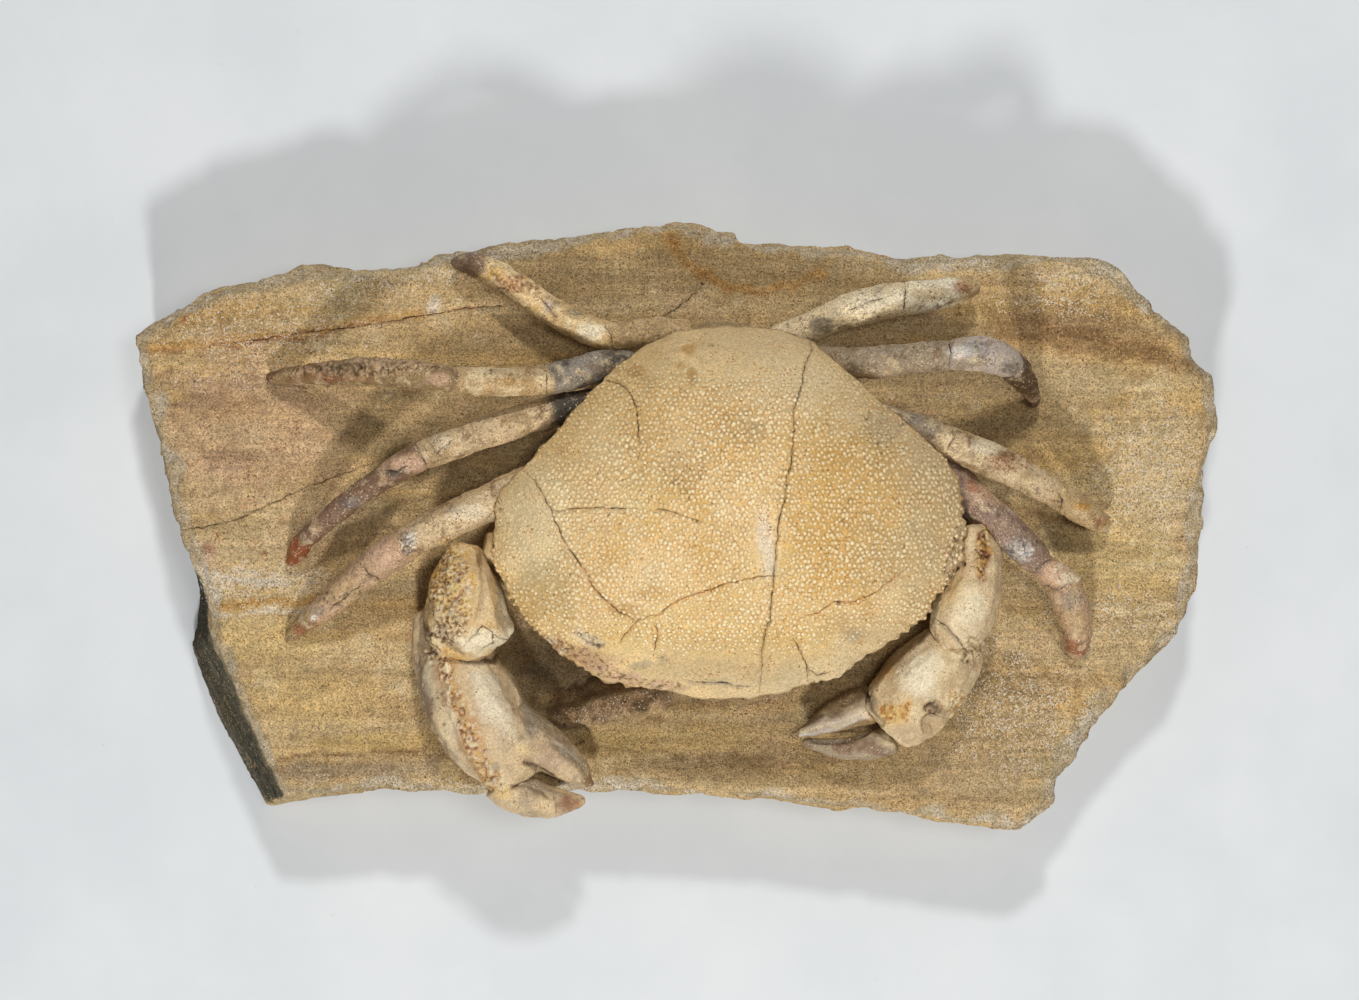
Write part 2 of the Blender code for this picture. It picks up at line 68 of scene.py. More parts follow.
# Colours as they would be picked from a screen, 0 to 255
TONES = {
    "ivory": (240, 226, 194),
    "chalk": (232, 224, 210),
    "cream": (226, 202, 158),
    "bead": (255, 241, 198),
    "bone": (208, 180, 138),
    "butter": (222, 190, 122),
    "sand": (212, 178, 124),
    "wheat": (236, 203, 148),
    "straw": (248, 211, 144),
    "amber": (180, 133, 62),
    "gold": (208, 162, 86),
    "honey": (216, 171, 92),
    "ochre": (192, 140, 66),
    "orange": (190, 110, 40),
    "rust": (142, 78, 38),
    "red_brown": (112, 58, 34),
    "brown": (124, 90, 56),
    "umber": (84, 60, 36),
    "soot": (44, 36, 26),
    "charcoal": (70, 62, 50),
    "slate": (110, 108, 106),
    "ash": (146, 136, 120),
    "stone_grey": (176, 158, 126),
    "grey_green": (172, 156, 112),
    "olive": (196, 164, 102),
    "moss": (62, 64, 52),
    "plum": (150, 122, 102),
    "mauve": (176, 144, 120),
    "mauve_brown": (130, 100, 76),
    "lilac": (192, 174, 158),
    "flesh": (194, 158, 122),
    "pink": (210, 170, 138),
    "tan": (192, 160, 112),
    "drab": (162, 142, 114),
    "dun": (158, 130, 88),
    "earth": (136, 110, 72),
    "pale_sand": (212, 188, 144),
}


def linear(tone):
    """A tone's colour as light."""
    share = np.array(TONES[tone]) / 255.0
    return np.where(share <= 0.04045, share / 12.92, ((share + 0.055) / 1.055) ** 2.4)


def smoothstep(share):
    share = np.clip(share, 0.0, 1.0)
    return share * share * (3.0 - 2.0 * share)


# Large odd numbers, which scatter the values of neighbouring cells
CELL_FACTORS, SEED_FACTOR = (374761393, 668265263, 1274126177), 974634777
MIXING = ((15, 2246822519), (13, 3266489917))  # shifts and factors


def hashed(cells, seed):
    """A repeatable random value from -1 to 1 for each row of whole numbers."""
    mixed = (cells * np.array(CELL_FACTORS)).sum(axis=1) + seed * SEED_FACTOR
    for shift, factor in MIXING:
        mixed = ((mixed ^ (mixed >> shift)) * factor) & 0xFFFFFFFF
    return (mixed ^ (mixed >> 16)) / 2.0**31 - 1.0


def noise(points, size, seed, layers=1):
    """Smooth random values from about -1 to 1, in bumps as wide as size. Each layer halves the size."""
    total, weight = np.zeros(len(points)), 1.0
    for layer in range(layers):
        at = points / (np.asarray(size) / 2**layer) + 100.0
        cell = np.floor(at).astype(np.int64)
        blend = smoothstep(at - cell)
        for corner in itertools.product((0, 1), repeat=3):
            share = np.prod(np.where(corner, blend, 1.0 - blend), axis=1)
            total += weight * share * hashed(cell + corner, seed + layer)
        weight /= 2.0
    return total


def points_of(mesh):
    flat = np.empty(len(mesh.vertices) * 3)
    mesh.vertices.foreach_get("co", flat)
    return flat.reshape(-1, 3) / MM


def normals_of(mesh):
    flat = np.empty(len(mesh.vertices) * 3)
    mesh.vertices.foreach_get("normal", flat)
    return flat.reshape(-1, 3)


def move_points(mesh, points):
    mesh.vertices.foreach_set("co", (points * MM).ravel())
    mesh.update()


def seen(points):
    """Where the camera sees the points, in pixels."""
    scale = LENS / SENSOR * PICTURE_WIDTH / (CAMERA[2] - points[:, 2])
    across = PICTURE_MIDDLE[0] + (points[:, 0] - CAMERA[0]) * scale
    down = PICTURE_MIDDLE[1] - (points[:, 1] - CAMERA[1]) * scale
    return np.column_stack([across, down])


def along_line(places, line):
    """How far places lie from a broken line, on which side (-1 or 1), and how far along it, from 0 to 1."""
    nearest, side, share = np.full(len(places), np.inf), np.ones(len(places)), np.zeros(len(places))
    line = np.array(line, float)
    lengths = np.hypot(*np.diff(line, axis=0).T)
    before = np.cumsum(lengths) - lengths
    for start, end, length, passed in zip(line, line[1:], lengths, before):
        ahead = (end - start) / length
        reach = np.clip((places - start) @ ahead, 0.0, length)
        away = places - start - reach[:, None] * ahead
        distance = np.hypot(away[:, 0], away[:, 1])
        closer = distance < nearest
        nearest[closer] = distance[closer]
        side[closer] = np.where(ahead[0] * away[closer, 1] < ahead[1] * away[closer, 0], -1.0, 1.0)
        share[closer] = (passed + reach[closer]) / lengths.sum()
    return nearest, side, share


def line_distance(places, line):
    return along_line(places, line)[0]


def in_oval(places, middle, radii, turn=0.0):
    """0 in the middle of an oval, 1 on its edge, more outside."""
    away = places - np.array(middle, float)
    c, s = math.cos(math.radians(turn)), math.sin(math.radians(turn))
    along = away[:, 0] * c - away[:, 1] * s
    across = away[:, 0] * s + away[:, 1] * c
    return np.hypot(along / radii[0], across / radii[1])


def link(obj):
    bpy.context.scene.collection.objects.link(obj)
    return obj


def with_modifier(piece, kind, **settings):
    """Applies one modifier to the piece."""
    modifier = piece.modifiers.new(kind.lower(), kind)
    for key, value in settings.items():
        setattr(modifier, key, value)
    graph = bpy.context.evaluated_depsgraph_get()
    made = bpy.data.meshes.new_from_object(piece.evaluated_get(graph))
    piece.modifiers.clear()
    old = piece.data
    piece.data = made
    bpy.data.meshes.remove(old)


def mesh_piece(mesh, name):
    """A bmesh as a new piece."""
    data = bpy.data.meshes.new(name)
    mesh.to_mesh(data)
    mesh.free()
    return link(bpy.data.objects.new(name, data))


def welded_copy(node, name, sharp_over=math.pi):
    """A node's mesh, welded and with its triangles paired. Edges over the given angle stay sharp."""
    mesh = bmesh.new()
    mesh.from_mesh(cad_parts[node].data)
    bmesh.ops.remove_doubles(mesh, verts=mesh.verts, dist=WELD * MM)
    pairing = {"angle_face_threshold": PAIR_FLATNESS, "angle_shape_threshold": PAIR_SQUARENESS}
    bmesh.ops.join_triangles(mesh, faces=mesh.faces, **pairing)
    crease = mesh.edges.layers.float.new("crease_edge")
    for edge in mesh.edges:
        if edge.calc_face_angle(0.0) > sharp_over:
            edge[crease] = 1.0
    return mesh_piece(mesh, name)


def swell(piece, by):
    move_points(piece.data, points_of(piece.data) + normals_of(piece.data) * by)


def remesh(piece, voxel, evening):
    """Gives the piece even faces, as wide as a voxel, and smooths it so many times."""
    with_modifier(piece, "REMESH", mode="VOXEL", voxel_size=voxel * MM, use_smooth_shade=True)
    with_modifier(piece, "SMOOTH", factor=0.5, iterations=evening)


def fine_copy(nodes, name, voxel, swelling, evening, sharp_over=math.pi):
    """The shapes of nodes as one, rounded and in small faces. The swelling makes up for the rounding."""
    whole = bmesh.new()
    for node in nodes:
        single = welded_copy(node, name + "_part", sharp_over)
        with_modifier(single, "SUBSURF", levels=2, render_levels=2)
        swell(single, swelling)
        whole.from_mesh(single.data)
        bpy.data.objects.remove(single)
    piece = mesh_piece(whole, name)
    remesh(piece, voxel, evening)
    return piece


def split_near(piece, near, times):
    """Splits the edges whose ends both lie near a mark, each time in two."""
    for _ in range(times):
        mesh = bmesh.new()
        mesh.from_mesh(piece.data)
        chosen = near(points_of(piece.data), normals_of(piece.data))
        mesh.verts.ensure_lookup_table()
        edges = [e for e in mesh.edges if chosen[e.verts[0].index] and chosen[e.verts[1].index]]
        bmesh.ops.subdivide_edges(mesh, edges=edges, cuts=1, use_grid_fill=True, smooth=0.0)
        mesh.to_mesh(piece.data)
        mesh.free()
    piece.data.shade_smooth()


CRACK_REACH = 0.8  # how far from its line a crack is drawn at most
FAR_AWAY = 9.0  # the distance that is kept where no crack is near
NO_CRACK = -1.0  # and the half-width


class Coat:
    """What the mesh keeps for its shader: the colour in layers, painted shade, pale grains and cracks."""

    def __init__(self, points, tone):
        self.points = points
        self.places = seen(points)
        self.colour = np.tile(linear(tone), (len(points), 1))
        self.painted_shade = np.zeros(len(points))
        self.pale = np.zeros(len(points))
        self.crack = np.full(len(points), FAR_AWAY)
        self.crack_width = np.full(len(points), NO_CRACK)
        self.ragged = noise(points, 3.0, 71, 3)

    def lay(self, tone, share):
        share = np.broadcast_to(np.clip(share, 0.0, 1.0), len(self.points))[:, None]
        self.colour += (linear(tone) - self.colour) * share

    def wash(self, tone, strength, size, seed, layers, start, reach, within=1.0):
        """Soft patches of a tone: none where the noise is under start, and full a reach above it."""
        field = noise(self.points, size, seed, layers)
        self.lay(tone, strength * within * smoothstep((field - start) / reach))

    def mottle(self, tone, size, cover, strength, seed, within=1.0):
        """Clear patches of a tone. A cover of 0 hides nothing, and 1 everything."""
        self.wash(tone, strength, size, seed, 3, 1.0 - 2.0 * cover, 0.5, within)

    # Painted shade: how far the shader darkens these points towards soot
    def paint_shade(self, share):
        self.painted_shade = np.maximum(self.painted_shade, share)

    def draw_crack(self, away, side, width):
        """A crack finer than the mesh, which the shader draws where the distance changes its sign."""
        closer = away < np.abs(self.crack)
        self.crack[closer] = (side * away)[closer]
        self.crack_width[closer] = np.where(away < CRACK_REACH, width, NO_CRACK)[closer]

    def wavering(self, by, sizes, seeds, layers):
        """The places, moved by up to so many pixels, which gives what is drawn there uneven edges."""
        moves = [noise(self.points, size, seed, layers) for size, seed in zip(sizes, seeds)]
        return self.places + by * np.column_stack(moves)

    def stain(self, tone, middle, radii, strength, turn=0.0):
        """An oval of a tone, with a ragged edge."""
        inside = in_oval(self.places, middle, radii, turn) + 0.3 * self.ragged
        self.lay(tone, strength * smoothstep((1.15 - inside) / 0.7))

    def scatter(self, middle, radii, amount, turn=0.0):
        """Pale grains, thickest in the middle of an oval."""
        inside = in_oval(self.places, middle, radii, turn) + 0.5 * self.ragged
        self.pale = np.maximum(self.pale, amount * smoothstep(1.3 - inside))

    def keep_on(self, mesh):
        """Writes all of it to the mesh, where the shader reads it."""
        paint = mesh.attributes.new("paint", "FLOAT_COLOR", "POINT")
        rows = np.column_stack([self.colour, np.ones(len(self.points))])
        paint.data.foreach_set("color", rows.ravel().astype(np.float32))
        for name in ("painted_shade", "pale", "crack", "crack_width"):
            layer = mesh.attributes.new(name, "FLOAT", "POINT")
            layer.data.foreach_set("value", getattr(self, name).astype(np.float32))


# Materials


def add(tree, kind, inputs=None, **settings):
    """A shader node, with its settings, and its inputs as values or as the sockets that feed them."""
    made = tree.nodes.new("ShaderNode" + kind)
    for key, value in settings.items():
        setattr(made, key, value)
    for key, value in (inputs or {}).items():
        if isinstance(value, bpy.types.NodeSocket):
            tree.links.new(value, made.inputs[key])
        else:
            made.inputs[key].default_value = value
    return made


def blended(tree, factor, first, second, way="MIX"):
    mix = add(tree, "Mix", {0: factor, 6: first, 7: second}, data_type="RGBA", blend_type=way)
    return mix.outputs[2]


def between(tree, value, low, high, least, most):
    """The least where the value is under low, the most where it is over high, and even steps between."""
    ends = {"From Min": low, "From Max": high, "To Min": least, "To Max": most}
    return add(tree, "MapRange", {"Value": value, **ends}).outputs["Result"]


def above(tree, value, low, high, most=1.0):
    return between(tree, value, low, high, 0.0, most)


def sum_of(tree, first, second):
    return add(tree, "Math", {0: first, 1: second}, operation="ADD").outputs[0]


def times(tree, first, second):
    return add(tree, "Math", {0: first, 1: second}, operation="MULTIPLY").outputs[0]


def grain(tree, place, size, detail=2.0, stretch=(1.0, 1.0, 1.0)):
    """A noise whose cells are about as wide as size, in millimetres."""
    scaled = add(tree, "Mapping", {"Vector": place, "Scale": stretch}).outputs["Vector"]
    inputs = {"Vector": scaled, "Scale": 1.0 / (size * MM), "Detail": detail, "Roughness": 0.6}
    return add(tree, "TexNoise", inputs).outputs["Fac"]


def rgba(tone):
    return (*linear(tone), 1.0)


def kept(tree, name, output="Fac"):
    """What the mesh keeps under a name."""
    return add(tree, "Attribute", attribute_name=name).outputs[output]


def shader_tree(name):
    """A new material, its nodes, its shader and the place on the object, in metres."""
    made = bpy.data.materials.new(name)
    made.use_nodes = True
    tree = made.node_tree
    return made, tree, tree.nodes["Principled BSDF"], add(tree, "TexCoord").outputs["Object"]


WARM_SHADE = (1.0, 0.93, 0.82, 1.0)
SOOT_IN_CRACKS = 0.9  # how dark a crack is


def stone(name, grain_size, grit, specks, bump, roughness, specular=0.35, streaks=0.0):
    """Weathered stone: the painted colour, lighter and darker grains, specks, fine cracks, painted shade
    and relief.

    Grit is how much the grains' brightness varies, and the bump is the relief's height. Each speck has
    the random channel of its grain, its tone, the share of the grains that have it, and its strength. The
    roughness runs from its first value to its second in broad patches, and streaks are along the sand's
    layers.
    """
    made, tree, shader, place = shader_tree(name)
    paint = kept(tree, "paint", "Color")
    grains = add(tree, "TexVoronoi", {"Vector": place, "Scale": 1.0 / (grain_size * MM)})
    chance = add(tree, "SeparateColor", {"Color": grains.outputs["Color"]}).outputs
    fine = grain(tree, place, grain_size * 1.4, 3.0)
    broad = grain(tree, place, grain_size * 12.0, 4.0)
    lightness = sum_of(tree, above(tree, fine, 0.32, 0.68, 0.45), times(tree, chance["Red"], 0.55))
    lightness = between(tree, lightness, 0.1, 0.9, 1.0 - grit, 1.0 + 0.8 * grit)
    patches = between(tree, broad, 0.35, 0.65, 1.0 - 0.24 * grit, 1.0 + 0.2 * grit)
    lightness = times(tree, lightness, patches)
    if streaks:
        layered = grain(tree, place, 1.3, 4.0, (0.06, 1.0, 0.5))
        bands = between(tree, layered, 0.35, 0.65, 1.0 - streaks, 1.0 + 0.6 * streaks)
        lightness = times(tree, lightness, bands)
    colour = add(tree, "VectorMath", {0: paint, "Scale": lightness}, operation="SCALE").outputs["Vector"]
    colour = blended(tree, above(tree, broad, 0.5, 0.72, 0.3), colour, WARM_SHADE, "MULTIPLY")
    for channel, tone, cover, strength in specks:
        odd = sum_of(tree, chance[channel], between(tree, broad, 0.3, 0.7, -0.1, 0.1))
        colour = blended(tree, above(tree, odd, 1.0 - cover, 1.03 - cover, strength), colour, rgba(tone))
    scattered = sum_of(tree, chance["Blue"], times(tree, times(tree, kept(tree, "pale"), broad), 0.75))
    colour = blended(tree, above(tree, scattered, 1.0, 1.03, 0.6), colour, rgba("chalk"))
    crack = hairline(tree, place)
    colour = blended(tree, times(tree, crack, SOOT_IN_CRACKS), colour, rgba("soot"))
    # Painted shade, which the mesh keeps, darkens the colour towards soot
    colour = blended(tree, kept(tree, "painted_shade"), colour, rgba("soot"))
    dome = times(tree, grains.outputs["Distance"], -0.5)
    relief = sum_of(tree, sum_of(tree, fine, dome), times(tree, crack, -1.5))
    relief = sum_of(tree, relief, grain(tree, place, grain_size * 5.0, 2.0))
    bumps = add(tree, "Bump", {"Height": relief, "Strength": 0.9, "Distance": bump * MM}).outputs["Normal"]
    tree.links.new(colour, shader.inputs["Base Color"])
    tree.links.new(bumps, shader.inputs["Normal"])
    tree.links.new(between(tree, broad, 0.3, 0.7, *roughness), shader.inputs["Roughness"])
    shader.inputs["Specular IOR Level"].default_value = specular
    return made


def hairline(tree, place):
    """1 inside a crack, whose half-width and signed distance the mesh keeps, with a little wobble."""
    wobble = between(tree, grain(tree, place, 0.8, 3.0), 0.3, 0.7, -0.14, 0.14)
    signed = sum_of(tree, kept(tree, "crack"), wobble)
    away = add(tree, "Math", {0: signed}, operation="ABSOLUTE").outputs[0]
    swing = between(tree, grain(tree, place, 2.6, 3.0), 0.36, 0.62, -0.6, 2.0)
    uneven = times(tree, kept(tree, "crack_width"), swing)
    return above(tree, sum_of(tree, uneven, times(tree, away, -1.0)), -0.06, 0.03)


SHELL = stone(
    "shell",
    grain_size=0.36,
    grit=0.28,
    specks=[("Green", "umber", 0.02, 0.7), ("Blue", "orange", 0.07, 0.5)],
    bump=0.1,
    roughness=(0.5, 0.75),
)
GRANULE = stone(
    "granule",
    grain_size=0.4,
    grit=0.1,
    specks=[("Green", "ochre", 0.08, 0.3)],
    bump=0.02,
    roughness=(0.28, 0.45),
    specular=0.6,
)
LIMB = stone(
    "limb",
    grain_size=0.34,
    grit=0.42,
    specks=[("Green", "umber", 0.05, 0.75), ("Blue", "ivory", 0.08, 0.5), ("Blue", "rust", 0.03, 0.5)],
    bump=0.16,
    roughness=(0.4, 0.7),
)
CLAW = stone(
    "claw",
    grain_size=0.34,
    grit=0.26,
    specks=[("Green", "umber", 0.018, 0.65), ("Blue", "ivory", 0.05, 0.4)],
    bump=0.14,
    roughness=(0.38, 0.65),
)
SANDSTONE = stone(
    "sandstone",
    grain_size=0.31,
    grit=0.56,
    specks=[("Green", "soot", 0.05, 0.65), ("Blue", "pale_sand", 0.08, 0.6), ("Blue", "rust", 0.02, 0.5)],
    bump=0.3,
    roughness=(0.85, 0.97),
    specular=0.2,
    streaks=0.16,
)


def finish_piece(piece, material, slot, *nodes):
    """Gives the piece its material and its body, and hides the nodes that it replaces. The slot is not
    used.
    """
    piece.data.materials.clear()
    piece.data.materials.append(material)
    piece.data.shade_smooth()
    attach(piece, "root")
    if nodes:
        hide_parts(*nodes)


def band(coat, tone, strength, width, line, top=1.0):
    """A band of colour with uneven edges. The width is half of the band's."""
    wavy = coat.wavering(4.0, (6.0, 5.0), (15, 16), 3)
    away = line_distance(wavy, line) * PIXEL / width + 0.4 * coat.ragged
    coat.lay(tone, strength * smoothstep((1.3 - away) / 0.9) * top)


def crust(coat, relief, top, size, height, crest, crevice, middle, radii, turn=0.0):
    """Lumps about as wide as size, with their own tone and dark crevices between them, and painted shade in
    the deepest, in an oval.
    """
    inside = smoothstep((1.25 - in_oval(coat.places, middle, radii, turn) - 0.35 * coat.ragged) / 0.4) * top
    lumps = np.abs(noise(coat.points, size, 23, 2))
    relief += height * (smoothstep(lumps / 0.5) - 0.4) * inside
    coat.lay(crest, 0.75 * inside * smoothstep((lumps - 0.2) / 0.25))
    coat.lay(crevice, 0.85 * inside * smoothstep((0.24 - lumps) / 0.2))
    coat.paint_shade(0.35 * inside * smoothstep((0.1 - lumps) / 0.1))


WIDEST_HAIRLINE = 0.3  # cracks narrower than this are also drawn by the shader


def groove(coat, relief, top, tone, width, depth, line):
    """A crack, or a ridge where the depth is negative: it moves the relief and lays its tone round it."""
    wavy = coat.wavering(1.1, (1.6, 1.6), (5, 6), 2)
    away, side, share = along_line(wavy, line)
    away *= PIXEL
    taper = 0.25 + 0.75 * smoothstep(np.minimum(share, 1.0 - share) / 0.15)
    relief -= depth * taper * np.exp(-((away / (1.5 * width)) ** 2)) * top
    coat.lay(tone, 0.5 * taper * np.exp(-((away / (2.2 * width)) ** 2)) * top * (0.75 + 0.35 * coat.ragged))
    if 0 < depth and width < WIDEST_HAIRLINE:
        coat.draw_crack(away, side, 0.3 * width * taper * top)


# The carapace
CARAPACE_VOXEL = 0.64
CARAPACE_SWELLING, CARAPACE_EVENING = 0.25, 3
MARGIN_LIFT = 11.0  # how far above the slab's top the margin begins
# The margin's teeth: how many pixels apart, their height, and where they run
MARGIN_TEETH = [
    (8.0, 0.9, [
        (500, 505), (496, 530), (501, 556), (510, 582), (522, 608), (540, 632), (562, 652), (590, 670),
    ]),
    (11.0, 0.5, [(590, 670), (625, 682), (680, 692), (740, 695), (800, 688), (846, 670)]),
    (12.0, 1.5, [
        (846, 670), (880, 650), (910, 622), (936, 596), (955, 566), (964, 532), (966, 500), (958, 474),
    ]),
]
TEETH_REACH, TEETH_FADE = 20.0, 12.0  # pixels from their line
# Clear patches: tone, size, cover, strength and seed
CARAPACE_MOTTLES = [
    ("honey", 7.0, 0.42, 0.5, 11),
    ("cream", 5.0, 0.45, 0.55, 12),
    ("butter", 11.0, 0.5, 0.4, 13),
]
# Soft patches on the underside: tone, strength, size, seed, layers, start and reach
UNDERSIDE_WASHES = [
    ("mauve_brown", 0.8, 3.0, 22, 3, -0.6, 1.0),
    ("umber", 0.7, 1.6, 24, 2, 0.1, 1.0),
]
# Painted light: the flanks are painted paler than the crown, and the left one warmer and lighter than the
# right
FLANK_TILT = 0.93  # how far the surface faces up where the flanks begin
WARM_FLANK_END, WARM_FLANK_WIDTH = 800.0, 200.0  # pixels
# Stains: tone, oval, strength and turn
CARAPACE_STAINS = [
    ("tan", (750, 338), (110, 30), 0.45),
    ("dun", (640, 350), (60, 40), 0.3),
    # Painted light: these two make the left flank lighter
    ("wheat", (545, 520), (60, 80), 0.8),
    ("bead", (535, 515), (50, 85), 0.35),
    ("bead", (880, 540), (60, 80), 0.2),
    ("cream", (930, 505), (34, 66), 0.35),
    ("grey_green", (900, 520), (60, 80), 0.2),
    ("mauve_brown", (686, 484), (14, 12), 0.35),
    ("mauve_brown", (703, 466), (9, 12), 0.3),
    ("drab", (757, 432), (14, 12), 0.35),
    ("honey", (850, 510), (85, 110), 0.55),
    ("gold", (850, 520), (70, 95), 0.3),
    ("honey", (690, 440), (90, 70), 0.3),
    ("stone_grey", (935, 470), (40, 90), 0.6),
    ("cream", (925, 480), (30, 80), 0.35),
    ("stone_grey", (905, 560), (50, 50), 0.4),
    ("grey_green", (548, 590), (44, 46), 0.38),
    ("stone_grey", (515, 520), (35, 45), 0.2),
    ("ochre", (652, 594), (22, 10), 0.5),
    ("ochre", (625, 610), (22, 9), 0.6),
    ("chalk", (584, 637), (22, 9), 0.45, -30),
    ("rust", (552, 642), (20, 12), 0.4),
    ("rust", (578, 655), (30, 12), 0.4),
    ("pink", (602, 662), (26, 10), 0.6),
    ("ash", (642, 665), (18, 5), 0.6, 12),
    ("slate", (852, 635), (14, 9), 0.4),
    ("ash", (662, 660), (8, 5), 0.5),
    ("chalk", (765, 540), (11, 38), 0.5, 8),
    ("ash", (883, 428), (24, 22), 0.4),
    ("ash", (680, 470), (26, 20), 0.25),
    ("ash", (738, 425), (30, 22), 0.2),
    ("butter", (720, 640), (150, 42), 0.45),
    ("stone_grey", (700, 672), (120, 18), 0.35),
    ("cream", (620, 430), (60, 50), 0.25),
    ("amber", (689, 350), (9, 11), 0.75),
    ("amber", (692, 377), (8, 10), 0.7),
    ("amber", (681, 366), (7, 6), 0.6),
    ("amber", (636, 372), (10, 8), 0.65),
    ("brown", (650, 380), (7, 5), 0.25),
    ("ochre", (655, 352), (10, 7), 0.25),
    ("dun", (545, 590), (34, 40), 0.22),
    ("tan", (862, 626), (48, 20), 0.35),
    ("tan", (720, 655), (80, 26), 0.22),
    ("charcoal", (580, 634), (4, 3), 0.75),
    ("charcoal", (599, 646), (4, 3), 0.75),
]
# Crusts: the lumps' size and height, the tones of crests and crevices, and an oval
CARAPACE_CRUSTS = [
    (1.5, 0.35, "ivory", "rust", (555, 645), (12, 8), -40),
    (1.3, 0.35, "flesh", "brown", (580, 654), (26, 7), -30),
    (1.4, 0.25, "cream", "mauve_brown", (588, 638), (18, 5), -30),
    (2.2, 0.4, "pink", "brown", (618, 674), (30, 6), -12),
    (1.8, 0.5, "pink", "mauve_brown", (658, 686), (26, 6), -4),
    (1.3, 0.3, "flesh", "umber", (952, 560), (6, 34), -12),
]
# Cracks: tone, width and depth, and the line
CARAPACE_CRACKS = [
    ("soot", 0.17, 0.35, [
        (800, 330), (808, 340), (812, 348), (808, 360), (804, 372), (802, 385), (799, 395), (794, 412),
        (794, 430), (793, 450), (792, 460), (787, 480), (785, 500), (779, 521), (776, 557), (774, 582),
        (770, 621), (763, 643), (762, 665), (760, 690),
    ]),
    ("rust", 0.22, 0.4, [
        (523, 470), (533, 480), (545, 498), (551, 512), (557, 527), (568, 550), (573, 555), (585, 572),
        (593, 588), (607, 602), (620, 613), (635, 620), (640, 619),
    ]),
    ("orange", 0.17, 0.25, [
        (640, 619), (650, 617), (660, 614), (670, 606), (680, 600), (700, 593), (726, 584), (754, 577),
        (783, 575),
    ]),
    ("rust", 0.17, 0.3, [(640, 619), (632, 626), (628, 631), (624, 636), (620, 643)]),
    ("orange", 0.16, 0.22, [(656, 625), (658, 632), (656, 643), (654, 650)]),
    ("brown", 0.14, 0.2, [(552, 511), (560, 510), (575, 509), (600, 508), (633, 508)]),
    ("brown", 0.12, 0.14, [(655, 509), (670, 511), (685, 516), (700, 521)]),
    ("umber", 0.15, 0.3, [
        (598, 381), (606, 380), (612, 382), (620, 385), (627, 390), (633, 399), (636, 408), (638, 420),
        (639, 440),
    ]),
    ("rust", 0.16, 0.25, [(793, 637), (797, 645), (801, 653), (805, 660), (807, 668), (808, 678)]),
    ("brown", 0.14, 0.15, [(808, 668), (818, 676), (828, 672)]),
    ("orange", 0.14, 0.14, [(800, 618), (820, 612), (835, 602), (850, 602), (870, 596), (904, 571)]),
    ("slate", 0.24, 0.4, [
        (684, 680), (690, 682), (700, 683), (720, 683), (733, 686), (742, 688), (750, 687),
    ]),
]
# Small pits: place and radius, in pixels
CARAPACE_PITS = [
    (684, 491, 2.4), (672, 483, 1.8), (697, 521, 1.8), (734, 435, 1.8), (738, 435, 1.8), (850, 500, 1.8),
    (798, 537, 2.2), (905, 546, 2.0), (839, 603, 2.4), (682, 470, 2.0), (700, 478, 1.8), (825, 480, 1.8),
    (842, 520, 1.5), (712, 345, 2.0), (580, 634, 2.6), (599, 646, 2.6), (902, 424, 2.2), (628, 448, 1.8),
    (867, 419, 1.8), (878, 443, 1.8), (881, 453, 1.8), (876, 465, 1.5), (500, 510, 2.2), (675, 478, 1.4),
    (690, 498, 1.4), (662, 658, 1.6), (870, 412, 1.6), (736, 540, 1.3),
]
# Painted shade in the pits: how deep the pits are, and how dark they are painted
PIT_DEPTH, PIT_DARKNESS = 0.35, 0.8
# Where the back is nearly smooth: oval and how much of the granules' height goes
SMOOTH_AREAS = [
    ((735, 330), (150, 48), 1.0),
    ((520, 530), (34, 60), 0.5),
    ((720, 680), (190, 34), 0.75),
    ((860, 650), (60, 30), 0.6),
    ((590, 655), (70, 22), 0.8),
    ((770, 545), (22, 36), 0.8),
]
GRANULE_SPACING = 1.27
GRANULE_SHIFT = 0.2  # the spread of their places, as a share of the spacing
GRANULE_RADIUS = 0.56
GRANULE_SIDES = 7
# A granule's profile: share of its radius, and height in millimetres
GRANULE_RINGS = [(1.18, -0.06), (0.8, 0.2)]
GRANULE_TOP = 0.34
LEAST_GRANULE = 0.34  # of the full size. Smaller ones are left out.
GRANULE_LIFT = 17.0  # how far above the slab's top the lowest granules are
GRANULE_TILT = 0.3  # how far the surface faces up where the last ones are
# Painted shade round each granule's foot, laid as amber over the shell's colour
SKIRT_DARKNESS = 0.36  # outside the dark ground
# Where the painted shade round the granules' feet is darkest, over a ground that is darker there too: an
# oval and how dark
DARK_GROUND = [
    ((850, 520), (80, 110), 0.95),
    ((700, 440), (110, 70), 0.7),
    ((640, 400), (60, 50), 0.45),
    ((650, 600), (40, 30), 0.5),
    ((870, 440), (40, 60), 0.5),
]


def granule_size(places):
    """1 where the granules are full-grown, and 0 where the back is smooth."""
    size = np.ones(len(places))
    for middle, radii, loss in SMOOTH_AREAS:
        size *= 1.0 - loss * smoothstep((1.25 - in_oval(places, middle, radii)) / 0.6)
    return size


def near_cracks(points, normals):
    """Which points lie by a crack of the back, where the mesh has to be finer."""
    places = seen(points)
    chosen = np.zeros(len(points), bool)
    for *_, line in CARAPACE_CRACKS:
        chosen |= line_distance(places, line) * PIXEL < CRACK_REACH
    return chosen & (normals[:, 2] > 0.1)


